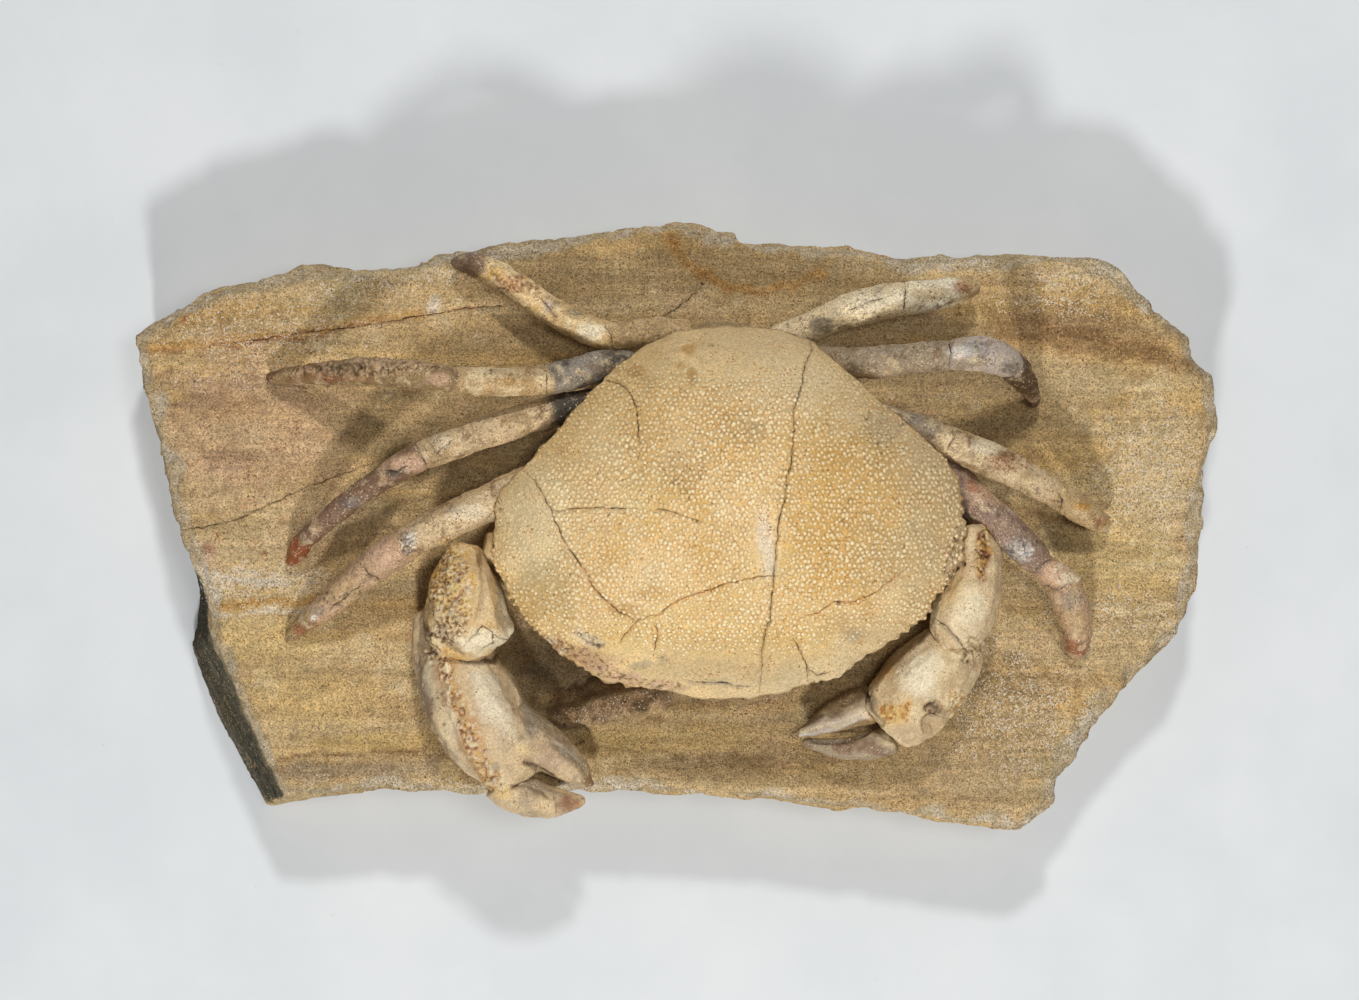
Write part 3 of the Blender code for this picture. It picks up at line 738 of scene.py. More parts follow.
def margin_teeth(coat, edge):
    """The relief of the margin's teeth, which are uneven in their spacing and height."""
    points, relief = coat.points, np.zeros(len(coat.points))
    for period, height, line in MARGIN_TEETH:
        away, _, share = along_line(coat.places, line)
        length = np.hypot(*np.diff(np.array(line, float), axis=0).T).sum()
        phase = share * length / period + 0.8 * noise(points, 7.0, 32) + 0.2 * noise(points, 2.5, 33)
        tooth = 1.0 - 2.0 * np.abs(phase % 1.0 - 0.5)
        uneven = np.clip(0.6 + 0.9 * noise(points, 6.0, 34, 2), 0.1, 1.3)
        fading = smoothstep((TEETH_REACH - away) / TEETH_FADE)
        relief += height * uneven * (tooth - 0.6) * edge * fading
    return relief


def carapace():
    """The body's shell, and its coat."""
    piece = fine_copy(["carapace"], "carapace_shell", CARAPACE_VOXEL, CARAPACE_SWELLING, CARAPACE_EVENING)
    split_near(piece, near_cracks, 2)
    mesh = piece.data
    points, normals = points_of(mesh), normals_of(mesh)
    coat = Coat(points, "wheat")
    top = smoothstep((normals[:, 2] - 0.05) / 0.3)
    for mottle in CARAPACE_MOTTLES:
        coat.mottle(*mottle)
    # Painted light: the flanks are lightened with cream, and the left one also with straw
    painted_flank_light = 0.75 * smoothstep((FLANK_TILT - normals[:, 2]) / 0.3)
    coat.lay("cream", painted_flank_light)
    coat.lay("straw", painted_flank_light * smoothstep((WARM_FLANK_END - coat.places[:, 0]) / WARM_FLANK_WIDTH))
    for stain in CARAPACE_STAINS:
        coat.stain(*stain)
    coat.lay("gold", (0.24 + 0.24 * noise(points, 9.0, 14, 3)) * granule_size(coat.places) * top)
    under = smoothstep((0.12 - normals[:, 2]) / 0.3)
    coat.lay("dun", 0.8 * (1.0 - top))
    coat.lay("tan", 0.5 * (1.0 - top) * (0.5 + 0.5 * noise(points, 4.0, 21, 3)))
    for wash in UNDERSIDE_WASHES:
        coat.wash(*wash, under)
    relief = 0.10 * noise(points, 5.0, 1, 2) + 0.05 * noise(points, 1.1, 2, 2)
    relief += (1.0 - top) * 0.4 * noise(points, 3.0, 3, 3) + under * 0.6 * np.abs(noise(points, 2.2, 25, 2))
    for lumps in CARAPACE_CRUSTS:
        crust(coat, relief, top, *lumps)
    for crack in CARAPACE_CRACKS:
        groove(coat, relief, top, *crack)
    for x, y, radius in CARAPACE_PITS:
        near = np.exp(-(in_oval(coat.places, (x, y), (radius, radius * 0.8)) ** 2)) * top
        relief -= PIT_DEPTH * near
        coat.paint_shade(PIT_DARKNESS * near)
    edge = np.exp(-((normals[:, 2] / 0.55) ** 2)) * (points[:, 2] > SLAB_TOP + MARGIN_LIFT)
    relief += 0.25 * edge * noise(points, 1.7, 31, 2) + margin_teeth(coat, edge)
    move_points(mesh, points + normals * relief[:, None])
    coat.keep_on(mesh)
    finish_piece(piece, SHELL, "carapace", "carapace")
    return piece, coat


def granule_spots(shell, random):
    """Where the granules stand on the back, the way up at each, and the face of the shell under it."""
    surface = BVHTree.FromObject(shell, bpy.context.evaluated_depsgraph_get())
    low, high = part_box("carapace")
    row_step = GRANULE_SPACING * math.sqrt(3.0) / 2.0
    rows = np.arange(low.y / MM, high.y / MM, row_step)
    columns = np.arange(low.x / MM, high.x / MM, GRANULE_SPACING)
    half_step = GRANULE_SPACING / 2
    spots = np.array([(x + half_step * (k % 2), y) for k, y in enumerate(rows) for x in columns])
    spots += random.normal(0.0, GRANULE_SHIFT * GRANULE_SPACING, spots.shape)
    lowest = (SLAB_TOP + GRANULE_LIFT) * MM
    above_all = high.z + 10.0 * MM
    found = []
    for x, y in spots:
        place, normal, face, _ = surface.ray_cast(Vector((x * MM, y * MM, above_all)), Vector((0, 0, -1)))
        if place is not None and normal.z > GRANULE_TILT and place.z > lowest:
            found.append((*(place / MM), *normal, face))
    found = np.array(found)
    return found[:, :3], found[:, 3:6], found[:, 6].astype(int)


def dome_corners(middles, ups, size, width, turns):
    """The corners of all domes: for each its outer ring, its inner ring and its top."""
    side = np.cross(ups, (0.0, 1.0, 0.0))
    side /= np.linalg.norm(side, axis=1)[:, None]
    ahead = np.cross(ups, side)
    corners = []
    for share, height in GRANULE_RINGS:
        for k in range(GRANULE_SIDES):
            angle = turns + 2 * math.pi * k / GRANULE_SIDES
            away = np.cos(angle)[:, None] * side + np.sin(angle)[:, None] * ahead
            corners.append(middles + (width * share)[:, None] * away + ups * (height * size)[:, None])
    corners.append(middles + ups * (GRANULE_TOP * size)[:, None])
    return np.stack(corners, axis=1)


def dome_faces(count, corners_each):
    ring = GRANULE_SIDES
    single = [tuple(reversed(range(ring)))]
    for k in range(ring):
        following = (k + 1) % ring
        single.append((k, following, ring + following, ring + k))
        single.append((ring + k, ring + following, 2 * ring))
    return [tuple(corners_each * n + corner for corner in face) for n in range(count) for face in single]


def granules(shell, shell_coat):
    """The fine granules of the back: a small closed dome on each point of a slightly uneven honeycomb."""
    random = np.random.default_rng(7)
    middles, ups, faces = granule_spots(shell, random)
    places = seen(middles)
    size = granule_size(places)
    for *_, line in CARAPACE_CRACKS:
        size *= smoothstep((line_distance(places, line) * PIXEL - 0.1) / 0.5)
    size *= 0.82 + 0.3 * noise(middles, 6.0, 41, 2) + random.normal(0.0, 0.2, len(middles))
    big = size > LEAST_GRANULE
    middles, ups, size, faces = middles[big], ups[big], size[big], faces[big]
    count, ring = len(middles), GRANULE_SIDES
    turns = random.uniform(0.0, 2 * math.pi, count)
    width = GRANULE_RADIUS * (0.55 + 0.45 * size) * random.uniform(0.9, 1.1, count)
    corners = dome_corners(middles, ups, size, width, turns)
    each = corners.shape[1]
    points = corners.reshape(-1, 3)
    mesh = bpy.data.meshes.new("carapace_granules")
    mesh.from_pydata((points * MM).tolist(), [], dome_faces(count, each))
    coat = Coat(points, "bead")
    under = [shell.data.polygons[face].vertices[0] for face in faces]
    coat.colour = np.repeat(shell_coat.colour[under], each, axis=0)
    dark = np.full(count, SKIRT_DARKNESS)
    for middle, radii, darkest in DARK_GROUND:
        dark = np.maximum(dark, darkest * smoothstep(1.4 - in_oval(seen(middles), middle, radii)))
    dark = np.repeat(np.clip(dark + 0.25 * noise(middles, 5.0, 44, 3), 0.1, 0.9), each)
    # Painted shade: each granule's skirt is darkened with amber, partly also the darker ground between the
    # granules
    coat.lay("amber", np.tile([1.0] * ring + [0.0] * (ring + 1), count) * dark)
    # The granules' cream colour, strongest on top as a painted highlight
    crown = np.tile([0.0] * ring + [0.4] * ring + [0.95], count)
    brightness = 0.66 + 0.22 * noise(middles, 3.0, 43, 3) + random.normal(0.0, 0.2, count)
    coat.lay("bead", crown * np.repeat(np.clip(brightness, 0.1, 1.0), each))
    coat.keep_on(mesh)
    finish_piece(link(bpy.data.objects.new("carapace_granules", mesh)), GRANULE, "carapace")


# The limbs: main tone, second tone and the share that it covers
LIMB_TONES = {
    "left_leg_1_thigh": ("bone", "brown", 0.35),
    "left_leg_1_shin": ("flesh", "tan", 0.35),
    "left_leg_1_tip": ("dun", "rust", 0.35),
    "left_leg_2_hip": ("charcoal", "umber", 0.4),
    "left_leg_2_thigh": ("bone", "dun", 0.45),
    "left_leg_2_shin": ("mauve_brown", "flesh", 0.42),
    "left_leg_2_tip": ("rust", "umber", 0.3),
    "left_leg_3_hip": ("ash", "charcoal", 0.5),
    "left_leg_3_thigh": ("tan", "cream", 0.45),
    "left_leg_3_shin": ("dun", "flesh", 0.4),
    "left_leg_3_tip": ("brown", "dun", 0.5),
    "left_leg_4_hip": ("tan", "dun", 0.4),
    "left_leg_4_thigh": ("sand", "cream", 0.45),
    "left_leg_4_shin": ("wheat", "honey", 0.42),
    "left_leg_4_tip": ("mauve_brown", "ash", 0.3),
    "right_leg_1_thigh": ("plum", "lilac", 0.3),
    "right_leg_1_shin": ("flesh", "tan", 0.5),
    "right_leg_1_tip": ("flesh", "rust", 0.4),
    "right_leg_2_hip": ("drab", "ash", 0.4),
    "right_leg_2_thigh": ("bone", "dun", 0.4),
    "right_leg_2_tip": ("tan", "bone", 0.45),
    "right_leg_3_thigh": ("drab", "lilac", 0.35),
    "right_leg_3_shin": ("lilac", "drab", 0.45),
    "right_leg_3_tip": ("umber", "mauve_brown", 0.35),
    "right_leg_4_thigh": ("cream", "drab", 0.3),
    "right_leg_4_shin": ("ivory", "tan", 0.4),
    "right_leg_4_tip": ("tan", "rust", 0.35),
    "left_claw_arm": ("tan", "brown", 0.4),
    "left_claw_wrist": ("sand", "honey", 0.45),
    "left_claw_palm": ("bone", "drab", 0.4),
    "left_claw_finger": ("bone", "drab", 0.5),
    "right_claw_arm": ("tan", "brown", 0.4),
    "right_claw_wrist": ("bone", "cream", 0.45),
    "right_claw_palm": ("bone", "cream", 0.5),
    "right_claw_fixed_finger": ("dun", "drab", 0.4),
    "right_claw_finger": ("drab", "mauve_brown", 0.45),
}
# Stains: tone, oval, strength and turn
LIMB_STAINS = [
    # The left claw's wrist
    ("honey", (450, 590), (20, 42), 0.5),
    ("lilac", (468, 588), (5, 10), 0.6),
    ("cream", (484, 590), (14, 40), 0.6),
    ("ivory", (484, 636), (18, 10), 0.8),
    ("stone_grey", (503, 610), (9, 36), 0.7),
    ("tan", (488, 545), (12, 12), 0.6),
    ("umber", (480, 560), (4, 12), 0.5),
    # The left claw's palm and fingers
    ("ash", (426, 680), (12, 62), 0.75),
    ("brown", (428, 640), (10, 24), 0.5),
    ("ivory", (455, 715), (13, 30), 0.5),
    ("ochre", (486, 775), (14, 10), 0.5),
    ("lilac", (492, 704), (20, 44), 0.35, 25),
    ("ivory", (490, 696), (16, 36), 0.5, 22),
    ("ash", (535, 710), (13, 32), 0.6),
    ("butter", (523, 750), (8, 6), 0.4),
    ("mauve", (560, 750), (28, 26), 0.55),
    ("red_brown", (589, 781), (9, 6), 0.8),
    ("butter", (503, 793), (10, 7), 0.6),
    ("drab", (535, 788), (18, 14), 0.7),
    ("rust", (570, 805), (13, 10), 0.6),
    # The right claw
    ("ivory", (968, 610), (22, 32), 0.5),
    ("butter", (950, 585), (20, 26), 0.4),
    # Painted shade along the right palm's edge next to the carapace
    ("gold", (893, 660), (11, 38), 0.7, -42),
    ("umber", (885, 659), (6, 38), 0.65, -42),
    ("gold", (906, 709), (6, 12), 0.75, -20),
    ("gold", (887, 709), (6, 11), 0.6),
    ("honey", (894, 716), (22, 13), 0.6, 15),
    ("ochre", (884, 714), (11, 9), 0.5),
    ("stone_grey", (930, 690), (9, 14), 0.3),
    ("drab", (968, 680), (7, 22), 0.35, 15),
    ("brown", (973, 664), (5, 8), 0.45),
    ("ivory", (922, 672), (26, 26), 0.8),
    ("stone_grey", (900, 660), (14, 22), 0.45),
    ("ash", (933, 710), (10, 10), 0.5),
    ("tan", (960, 690), (16, 22), 0.4),
    ("umber", (846, 698), (24, 8), 0.55),
    ("lilac", (836, 724), (30, 7), 0.5, 12),
    ("umber", (872, 702), (6, 14), 0.5),
    ("mauve_brown", (812, 728), (12, 8), 0.5),
    ("cream", (888, 742), (14, 8), 0.5),
    # The legs of the left side, from the hindmost
    ("mauve_brown", (470, 264), (15, 11), 0.6),
    ("orange", (512, 284), (20, 11), 0.4),
    ("lilac", (548, 306), (8, 9), 0.7),
    ("ivory", (590, 332), (16, 10), 0.75),
    ("moss", (575, 312), (14, 7), 0.35),
    ("rust", (330, 378), (50, 6), 0.45),
    ("umber", (350, 366), (30, 5), 0.4),
    ("pink", (438, 380), (14, 9), 0.75),
    ("ochre", (500, 382), (34, 6), 0.35),
    ("ivory", (440, 440), (16, 10), 0.45),
    ("pink", (405, 464), (22, 12), 0.8),
    ("charcoal", (397, 473), (14, 4), 0.8),
    ("mauve_brown", (345, 508), (30, 16), 0.4),
    ("slate", (352, 503), (14, 9), 0.5),
    ("ivory", (470, 512), (22, 10), 0.5),
    ("chalk", (409, 541), (7, 7), 0.8),
    ("pink", (383, 556), (22, 16), 0.85),
    ("tan", (345, 592), (24, 14), 0.6),
    ("slate", (318, 612), (8, 6), 0.5),
    ("chalk", (313, 618), (5, 4), 0.8),
    ("rust", (300, 629), (10, 9), 0.7),
    # The legs of the right side, from the hindmost
    ("charcoal", (822, 325), (14, 10), 0.7),
    ("ivory", (868, 303), (40, 12), 0.6, 12),
    ("ivory", (915, 296), (30, 10), 0.5, 8),
    ("tan", (930, 294), (26, 9), 0.6),
    ("rust", (962, 288), (10, 7), 0.6),
    ("charcoal", (860, 368), (20, 8), 0.4),
    ("chalk", (962, 352), (14, 8), 0.7),
    ("slate", (975, 350), (20, 9), 0.4),
    ("charcoal", (1010, 368), (13, 9), 0.6),
    ("umber", (1030, 388), (10, 16), 0.6),
    ("ivory", (985, 446), (22, 11), 0.5),
    ("red_brown", (969, 443), (3, 6), 0.6),
    ("rust", (1005, 463), (22, 11), 0.35),
    ("ochre", (1083, 507), (8, 5), 0.8),
    ("rust", (1101, 522), (8, 7), 0.55),
    ("pink", (985, 495), (18, 12), 0.5),
    ("orange", (972, 488), (8, 7), 0.3),
    ("slate", (1015, 548), (14, 14), 0.45),
    ("chalk", (1025, 553), (12, 8), 0.55),
    ("pink", (1058, 570), (18, 12), 0.75),
    ("cream", (1072, 578), (10, 7), 0.6),
    ("ash", (1073, 600), (14, 16), 0.5),
    ("tan", (1076, 622), (14, 12), 0.5),
]
# Grooves, and ridges where the depth is negative: tone, width and depth, and the line
LIMB_LINES = [
    ("brown", 0.3, 0.4, [(476, 548), (481, 566), (483, 588), (480, 610), (474, 624)]),
    ("brown", 0.12, 0.25, [(468, 641), (483, 626), (493, 632), (493, 643), (481, 651)]),
    ("brown", 0.12, 0.2, [(493, 632), (497, 637), (506, 637), (512, 628)]),
    ("umber", 0.35, 0.6, [(424, 596), (423, 618), (430, 634), (426, 650), (421, 672)]),
    ("umber", 0.3, 0.5, [(420, 600), (417, 640), (418, 690), (428, 728), (446, 764)]),
    ("umber", 0.4, 0.55, [(430, 592), (431, 612), (437, 628), (448, 640), (462, 650)]),
    ("brown", 0.5, 0.5, [(432, 650), (438, 680), (447, 715), (458, 745), (470, 768), (484, 785)]),
    ("ash", 0.9, 0.6, [(508, 660), (522, 690), (540, 720), (560, 745), (580, 768)]),
    ("ivory", 1.1, -0.5, [(470, 660), (488, 690), (505, 720), (520, 742)]),
    ("soot", 0.45, 1.0, [(523, 762), (527, 761), (535, 768), (545, 775), (553, 780)]),
    ("umber", 0.3, 0.35, [(508, 786), (522, 784), (540, 790), (552, 800)]),
    ("umber", 0.28, 0.4, [(553, 795), (557, 803), (556, 814)]),
    ("ash", 0.4, 0.4, [(565, 745), (580, 762), (588, 775)]),
    ("umber", 0.2, 0.35, [(935, 618), (945, 625), (952, 633), (958, 640), (970, 655)]),
    ("rust", 0.3, 0.5, [(987, 540), (990, 556), (987, 570)]),
    ("soot", 0.3, 0.5, [(863, 686), (868, 700), (872, 712), (876, 718), (882, 722)]),
    ("lilac", 0.9, -0.45, [(803, 731), (820, 722), (840, 720), (858, 713), (870, 706)]),
    ("tan", 0.8, -0.6, [
        (920, 724), (924, 714), (932, 711), (941, 716), (942, 727), (935, 735), (925, 734), (920, 724),
    ]),
    ("soot", 0.35, 0.7, [(806, 740), (825, 742), (848, 741), (866, 733), (882, 722)]),
    ("umber", 0.35, 0.4, [(922, 708), (932, 704), (942, 708)]),
    ("umber", 0.22, 0.4, [(922, 731), (922, 720), (928, 713), (938, 715)]),
    ("umber", 0.16, 0.25, [(432, 446), (437, 454), (446, 445), (452, 440)]),
    ("soot", 0.18, 0.3, [(953, 428), (954, 438), (948, 448)]),
    ("umber", 0.3, 0.35, [(452, 370), (455, 380), (452, 391)]),
    ("umber", 0.2, 0.3, [(415, 444), (421, 456), (427, 466)]),
    ("soot", 0.22, 0.3, [(385, 470), (397, 472), (408, 466)]),
    ("umber", 0.3, 0.35, [(398, 530), (404, 540), (409, 552)]),
    ("umber", 0.2, 0.3, [(330, 610), (343, 600), (358, 588), (366, 580)]),
    ("umber", 0.2, 0.3, [(362, 567), (370, 575), (380, 580)]),
    ("umber", 0.2, 0.3, [(1036, 571), (1043, 564), (1050, 560)]),
    ("umber", 0.18, 0.25, [(1045, 585), (1058, 590), (1068, 583)]),
    ("umber", 0.2, 0.25, [(905, 287), (906, 298), (904, 310)]),
    ("umber", 0.16, 0.25, [(848, 310), (866, 303), (884, 298)]),
    ("slate", 0.2, 0.25, [(948, 340), (951, 352), (950, 370)]),
    ("umber", 0.2, 0.3, [(1058, 492), (1064, 500), (1060, 510)]),
    ("brown", 0.2, 0.25, [(547, 372), (549, 382), (547, 394)]),
    ("brown", 0.25, 0.3, [(540, 298), (548, 306), (553, 316)]),
    ("umber", 0.2, 0.25, [(606, 325), (611, 335), (612, 347)]),
]
# Bands of colour: tone, strength, half of the width, and the line
LIMB_BANDS = [
    ("chalk", 0.6, 0.9, [(801, 738), (816, 733), (832, 728), (848, 720), (862, 714)]),
    ("ochre", 0.7, 2.4, [(438, 652), (449, 680), (460, 712), (472, 742), (489, 780)]),
    ("flesh", 0.5, 1.6, [(440, 652), (451, 680), (462, 712), (474, 742), (491, 780)]),
    ("cream", 0.5, 1.6, [(428, 660), (434, 690), (444, 722), (458, 752), (474, 778)]),
    ("brown", 0.6, 0.9, [(424, 600), (426, 640), (420, 680), (432, 730), (450, 768)]),
    # Painted shadow under the left wrist's lip, on the palm
    ("umber", 0.7, 0.4, [(470, 660), (486, 661), (502, 654), (514, 642)]),
    ("umber", 0.6, 0.5, [(431, 590), (434, 615), (440, 632), (452, 646), (464, 654)]),
    ("stone_grey", 0.7, 1.6, [(500, 560), (506, 590), (508, 625)]),
    ("ivory", 0.7, 1.6, [(458, 640), (476, 650), (498, 644), (510, 632)]),
    # Painted shadow under the left wrist's lip
    ("umber", 0.75, 0.9, [(462, 662), (480, 664), (500, 657)]),
    # Painted shade on the left palm's right slope
    ("earth", 0.75, 2.0, [(508, 662), (528, 692), (548, 720), (572, 752), (586, 776)]),
    ("umber", 0.75, 0.5, [(523, 762), (530, 765), (542, 773), (553, 780)]),
    ("rust", 0.7, 1.3, [(978, 534), (985, 550), (984, 574)]),
    ("umber", 0.7, 0.5, [(986, 540), (989, 556), (985, 572)]),
    ("earth", 0.85, 2.0, [(806, 722), (834, 704), (862, 690)]),
    ("cream", 0.75, 1.1, [
        (802, 731), (816, 726), (826, 719), (838, 722), (850, 715), (864, 711), (877, 717),
    ]),
    ("umber", 0.6, 0.5, [(806, 741), (830, 742), (852, 739), (880, 724)]),
    ("umber", 0.35, 0.4, [(932, 620), (944, 630), (957, 641)]),
    ("umber", 0.5, 0.4, [(863, 690), (868, 703), (876, 716), (882, 722)]),
]
# Beads, and pits where the height is negative: tone, their oval, how many, their radius and height
SPOTS = [
    ("rust", (1006, 463), (24, 12), 54, 0.3, -0.3),
    ("rust", (450, 598), (17, 44), 90, 0.3, -0.3),
    ("umber", (448, 612), (14, 32), 36, 0.3, -0.4),
    ("ivory", (454, 590), (18, 44), 90, 0.35, 0.3),
    ("rust", (516, 285), (24, 9), 70, 0.3, -0.35),
    ("orange", (887, 710), (6, 10), 12, 0.4, -0.2),
    ("orange", (906, 710), (6, 11), 12, 0.4, -0.2),
    ("umber", (958, 556), (6, 16), 12, 0.5, -0.8),
    ("umber", (966, 659), (4, 4), 6, 0.35, -0.6),
    ("umber", (440, 690), (10, 50), 18, 0.3, -0.25),
    ("brown", (931, 708), (8, 6), 14, 0.35, -0.45),
    ("chalk", (1024, 553), (13, 9), 14, 0.4, 0.25),
    ("umber", (350, 370), (40, 6), 26, 0.5, -0.3),
    ("tan", (380, 372), (50, 8), 26, 0.5, 0.3),
    ("chalk", (408, 541), (6, 6), 8, 0.45, 0.3),
    ("umber", (410, 546), (9, 9), 9, 0.4, -0.35),
    ("umber", (340, 596), (24, 12), 16, 0.35, -0.25),
    ("ivory", (1066, 574), (18, 10), 14, 0.7, 0.35),
    ("umber", (860, 306), (30, 9), 16, 0.3, -0.25),
]
# Where the lumps of the left palm's ridge lie
LUMP_PLACES = [
    (439, 656), (446, 674), (454, 694), (462, 714), (468, 732), (476, 750), (485, 768), (491, 782),
]
LUMP_RADII = (11, 11)
# At each of them: tone, how many, their radius and height
LUMPS = [("ivory", 7, 0.5, 0.5), ("gold", 5, 0.6, 0.3), ("red_brown", 4, 0.3, -0.4)]
SPOTS += [(tone, place, LUMP_RADII, *lump) for place in LUMP_PLACES for tone, *lump in LUMPS]
SPOT_STRENGTH, PIT_SHADE = 0.6, 0.4
# By kind of limb: an edge stays sharp where it turns by more than sharp_over, in radians, the unevenness
# scales the relief, and the dirt scales the small dark stains.
LIMB_SHAPES = {
    "leg": dict(voxel=0.38, swelling=0.95, sharp_over=1.0, unevenness=1.35, dirt=1.0, material=LIMB),
    "claw": dict(voxel=0.385, swelling=0.4, sharp_over=0.5, unevenness=1.3, dirt=0.4, material=CLAW),
}
LIMB_EVENING = 4
LIMB_SHIFT = 31.0  # how far the pattern of the relief moves from one limb to the next
# How much more these are swollen
THICKER = {"left_leg_1": 0.35, "left_leg_4": 0.25, "right_leg_4": 0.5, "right_leg_3": 0.1}
# Swellings of the claws, and dents where the height is negative: an oval, its turn and the height
CLAW_FORMS = [
    ((508, 634), (13, 12), 0, 1.7),
    ((432, 606), (10, 30), 0, 0.8),
    ((488, 708), (48, 18), -59, 0.9),
    ((524, 712), (34, 7), -57, -0.7),
    ((446, 690), (50, 6), -66, -0.5),
    ((500, 600), (40, 8), -82, -0.6),
    ((462, 590), (36, 14), -80, 0.5),
    ((478, 640), (22, 7), 10, 0.5),
    ((925, 672), (44, 24), 49, 0.5),
    ((930, 724), (7, 6), 0, -1.3),
    ((902, 735), (18, 5), 10, -0.5),
    ((986, 556), (24, 5), 80, -0.9),
    ((962, 600), (36, 13), 65, 0.5),
    ((840, 700), (30, 5), 28, 0.5),
]
# Crusts: the lumps' size and height, the tones of crests and crevices, and an oval
LIMB_CRUSTS = [
    (0.9, 0.4, "butter", "rust", (451, 588), (18, 42), 4),
    (0.8, 0.35, "cream", "brown", (448, 624), (15, 22), 30),
    (1.7, 0.6, "cream", "rust", (444, 672), (16, 7), -66),
    (1.7, 0.6, "sand", "rust", (457, 704), (18, 7), -68),
    (1.7, 0.6, "cream", "rust", (469, 738), (18, 7), -68),
    (1.7, 0.5, "sand", "brown", (486, 772), (16, 8), -62),
    (1.5, 0.4, "cream", "umber", (436, 640), (9, 20), -20),
    (1.1, 0.9, "gold", "red_brown", (983, 553), (8, 24), -6),
    (1.6, 0.5, "cream", "tan", (974, 646), (12, 11)),
    (1.3, 0.5, "tan", "umber", (931, 708), (10, 7)),
    (1.5, 0.4, "cream", "ochre", (955, 702), (10, 14), -30),
    (1.0, 0.3, "butter", "orange", (888, 711), (9, 9), 15),
    (1.4, 0.3, "flesh", "brown", (360, 368), (70, 8), 3),
    (1.2, 0.3, "ivory", "ash", (409, 542), (9, 12)),
    (1.2, 0.3, "lilac", "slate", (1024, 552), (14, 11), -40),
]
MARK_REACH = 8.0  # pixels beyond a piece within which a mark still touches it


def touches(coat, middle, reach):
    """Whether a mark there can touch the piece."""
    low = coat.places.min(axis=0) - reach
    high = coat.places.max(axis=0) + reach
    return np.all(low < middle) and np.all(np.array(middle) < high)


def passes(coat, line):
    """Whether a line comes near the piece."""
    return any(touches(coat, place, MARK_REACH) for place in line)


def surface_of(node):
    """The surface of a CAD piece, in metres."""
    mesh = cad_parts[node].data
    corners = [vertex.co for vertex in mesh.vertices]
    return BVHTree.FromPolygons(corners, [tuple(face.vertices) for face in mesh.polygons])


def node_shares(points, nodes):
    """How much of each node's tones the points take, soft and ragged where two nodes meet."""
    away = []
    for number, node in enumerate(nodes):
        surface = surface_of(node)
        found = np.array([surface.find_nearest(Vector(point))[3] for point in points * MM]) / MM
        away.append(found + 0.6 * noise(points, 2.2, 170 + number, 3))
    near = np.exp(-(np.array(away) - np.min(away, axis=0)) / 0.35)
    return near / near.sum(axis=0)


def paint_limb(coat, nodes, up, seed, dirt):
    """The tones of each node, the small patches, and the stains and bands that touch the piece."""
    shares = node_shares(coat.points, nodes)
    coat.colour = sum(share[:, None] * linear(LIMB_TONES[node][0]) for node, share in zip(nodes, shares))
    for node, share in zip(nodes, shares):
        _, second, cover = LIMB_TONES[node]
        coat.mottle(second, 4.5, cover, 0.8, 50 + seed, share)
    coat.mottle("cream", 2.4, 0.34, 0.5, 90 + seed)
    coat.mottle("brown", 3.0, 0.3, 0.5 * dirt, 110 + seed)
    coat.mottle("umber", 1.6, 0.24, 0.6 * dirt, 130 + seed)
    for tone, middle, radii, strength, *turn in LIMB_STAINS:
        if touches(coat, middle, max(radii)):
            coat.stain(tone, middle, radii, strength, *turn)
    for stripe in LIMB_BANDS:
        if passes(coat, stripe[-1]):
            band(coat, *stripe, up)


def lay_spots(coat, relief, up, seed):
    """The beads and pits, at random places in their ovals."""
    random = np.random.default_rng(seed)
    for tone, middle, radii, count, radius, height in SPOTS:
        turns, reaches = random.uniform(0, 2 * math.pi, count), np.sqrt(random.uniform(0, 1, count))
        sizes = radius * random.uniform(0.6, 1.2, count)
        if not touches(coat, middle, max(radii)):
            continue
        for turn, reach, size in zip(turns, reaches, sizes):
            across, along = radii[0] * reach * math.cos(turn), radii[1] * reach * math.sin(turn)
            place = (middle[0] + across, middle[1] + along)
            near = np.exp(-(in_oval(coat.places, place, (size / PIXEL, size / PIXEL)) ** 2)) * up
            relief += height * near
            coat.lay(tone, SPOT_STRENGTH * near)
            if height < 0:
                coat.paint_shade(PIT_SHADE * near)


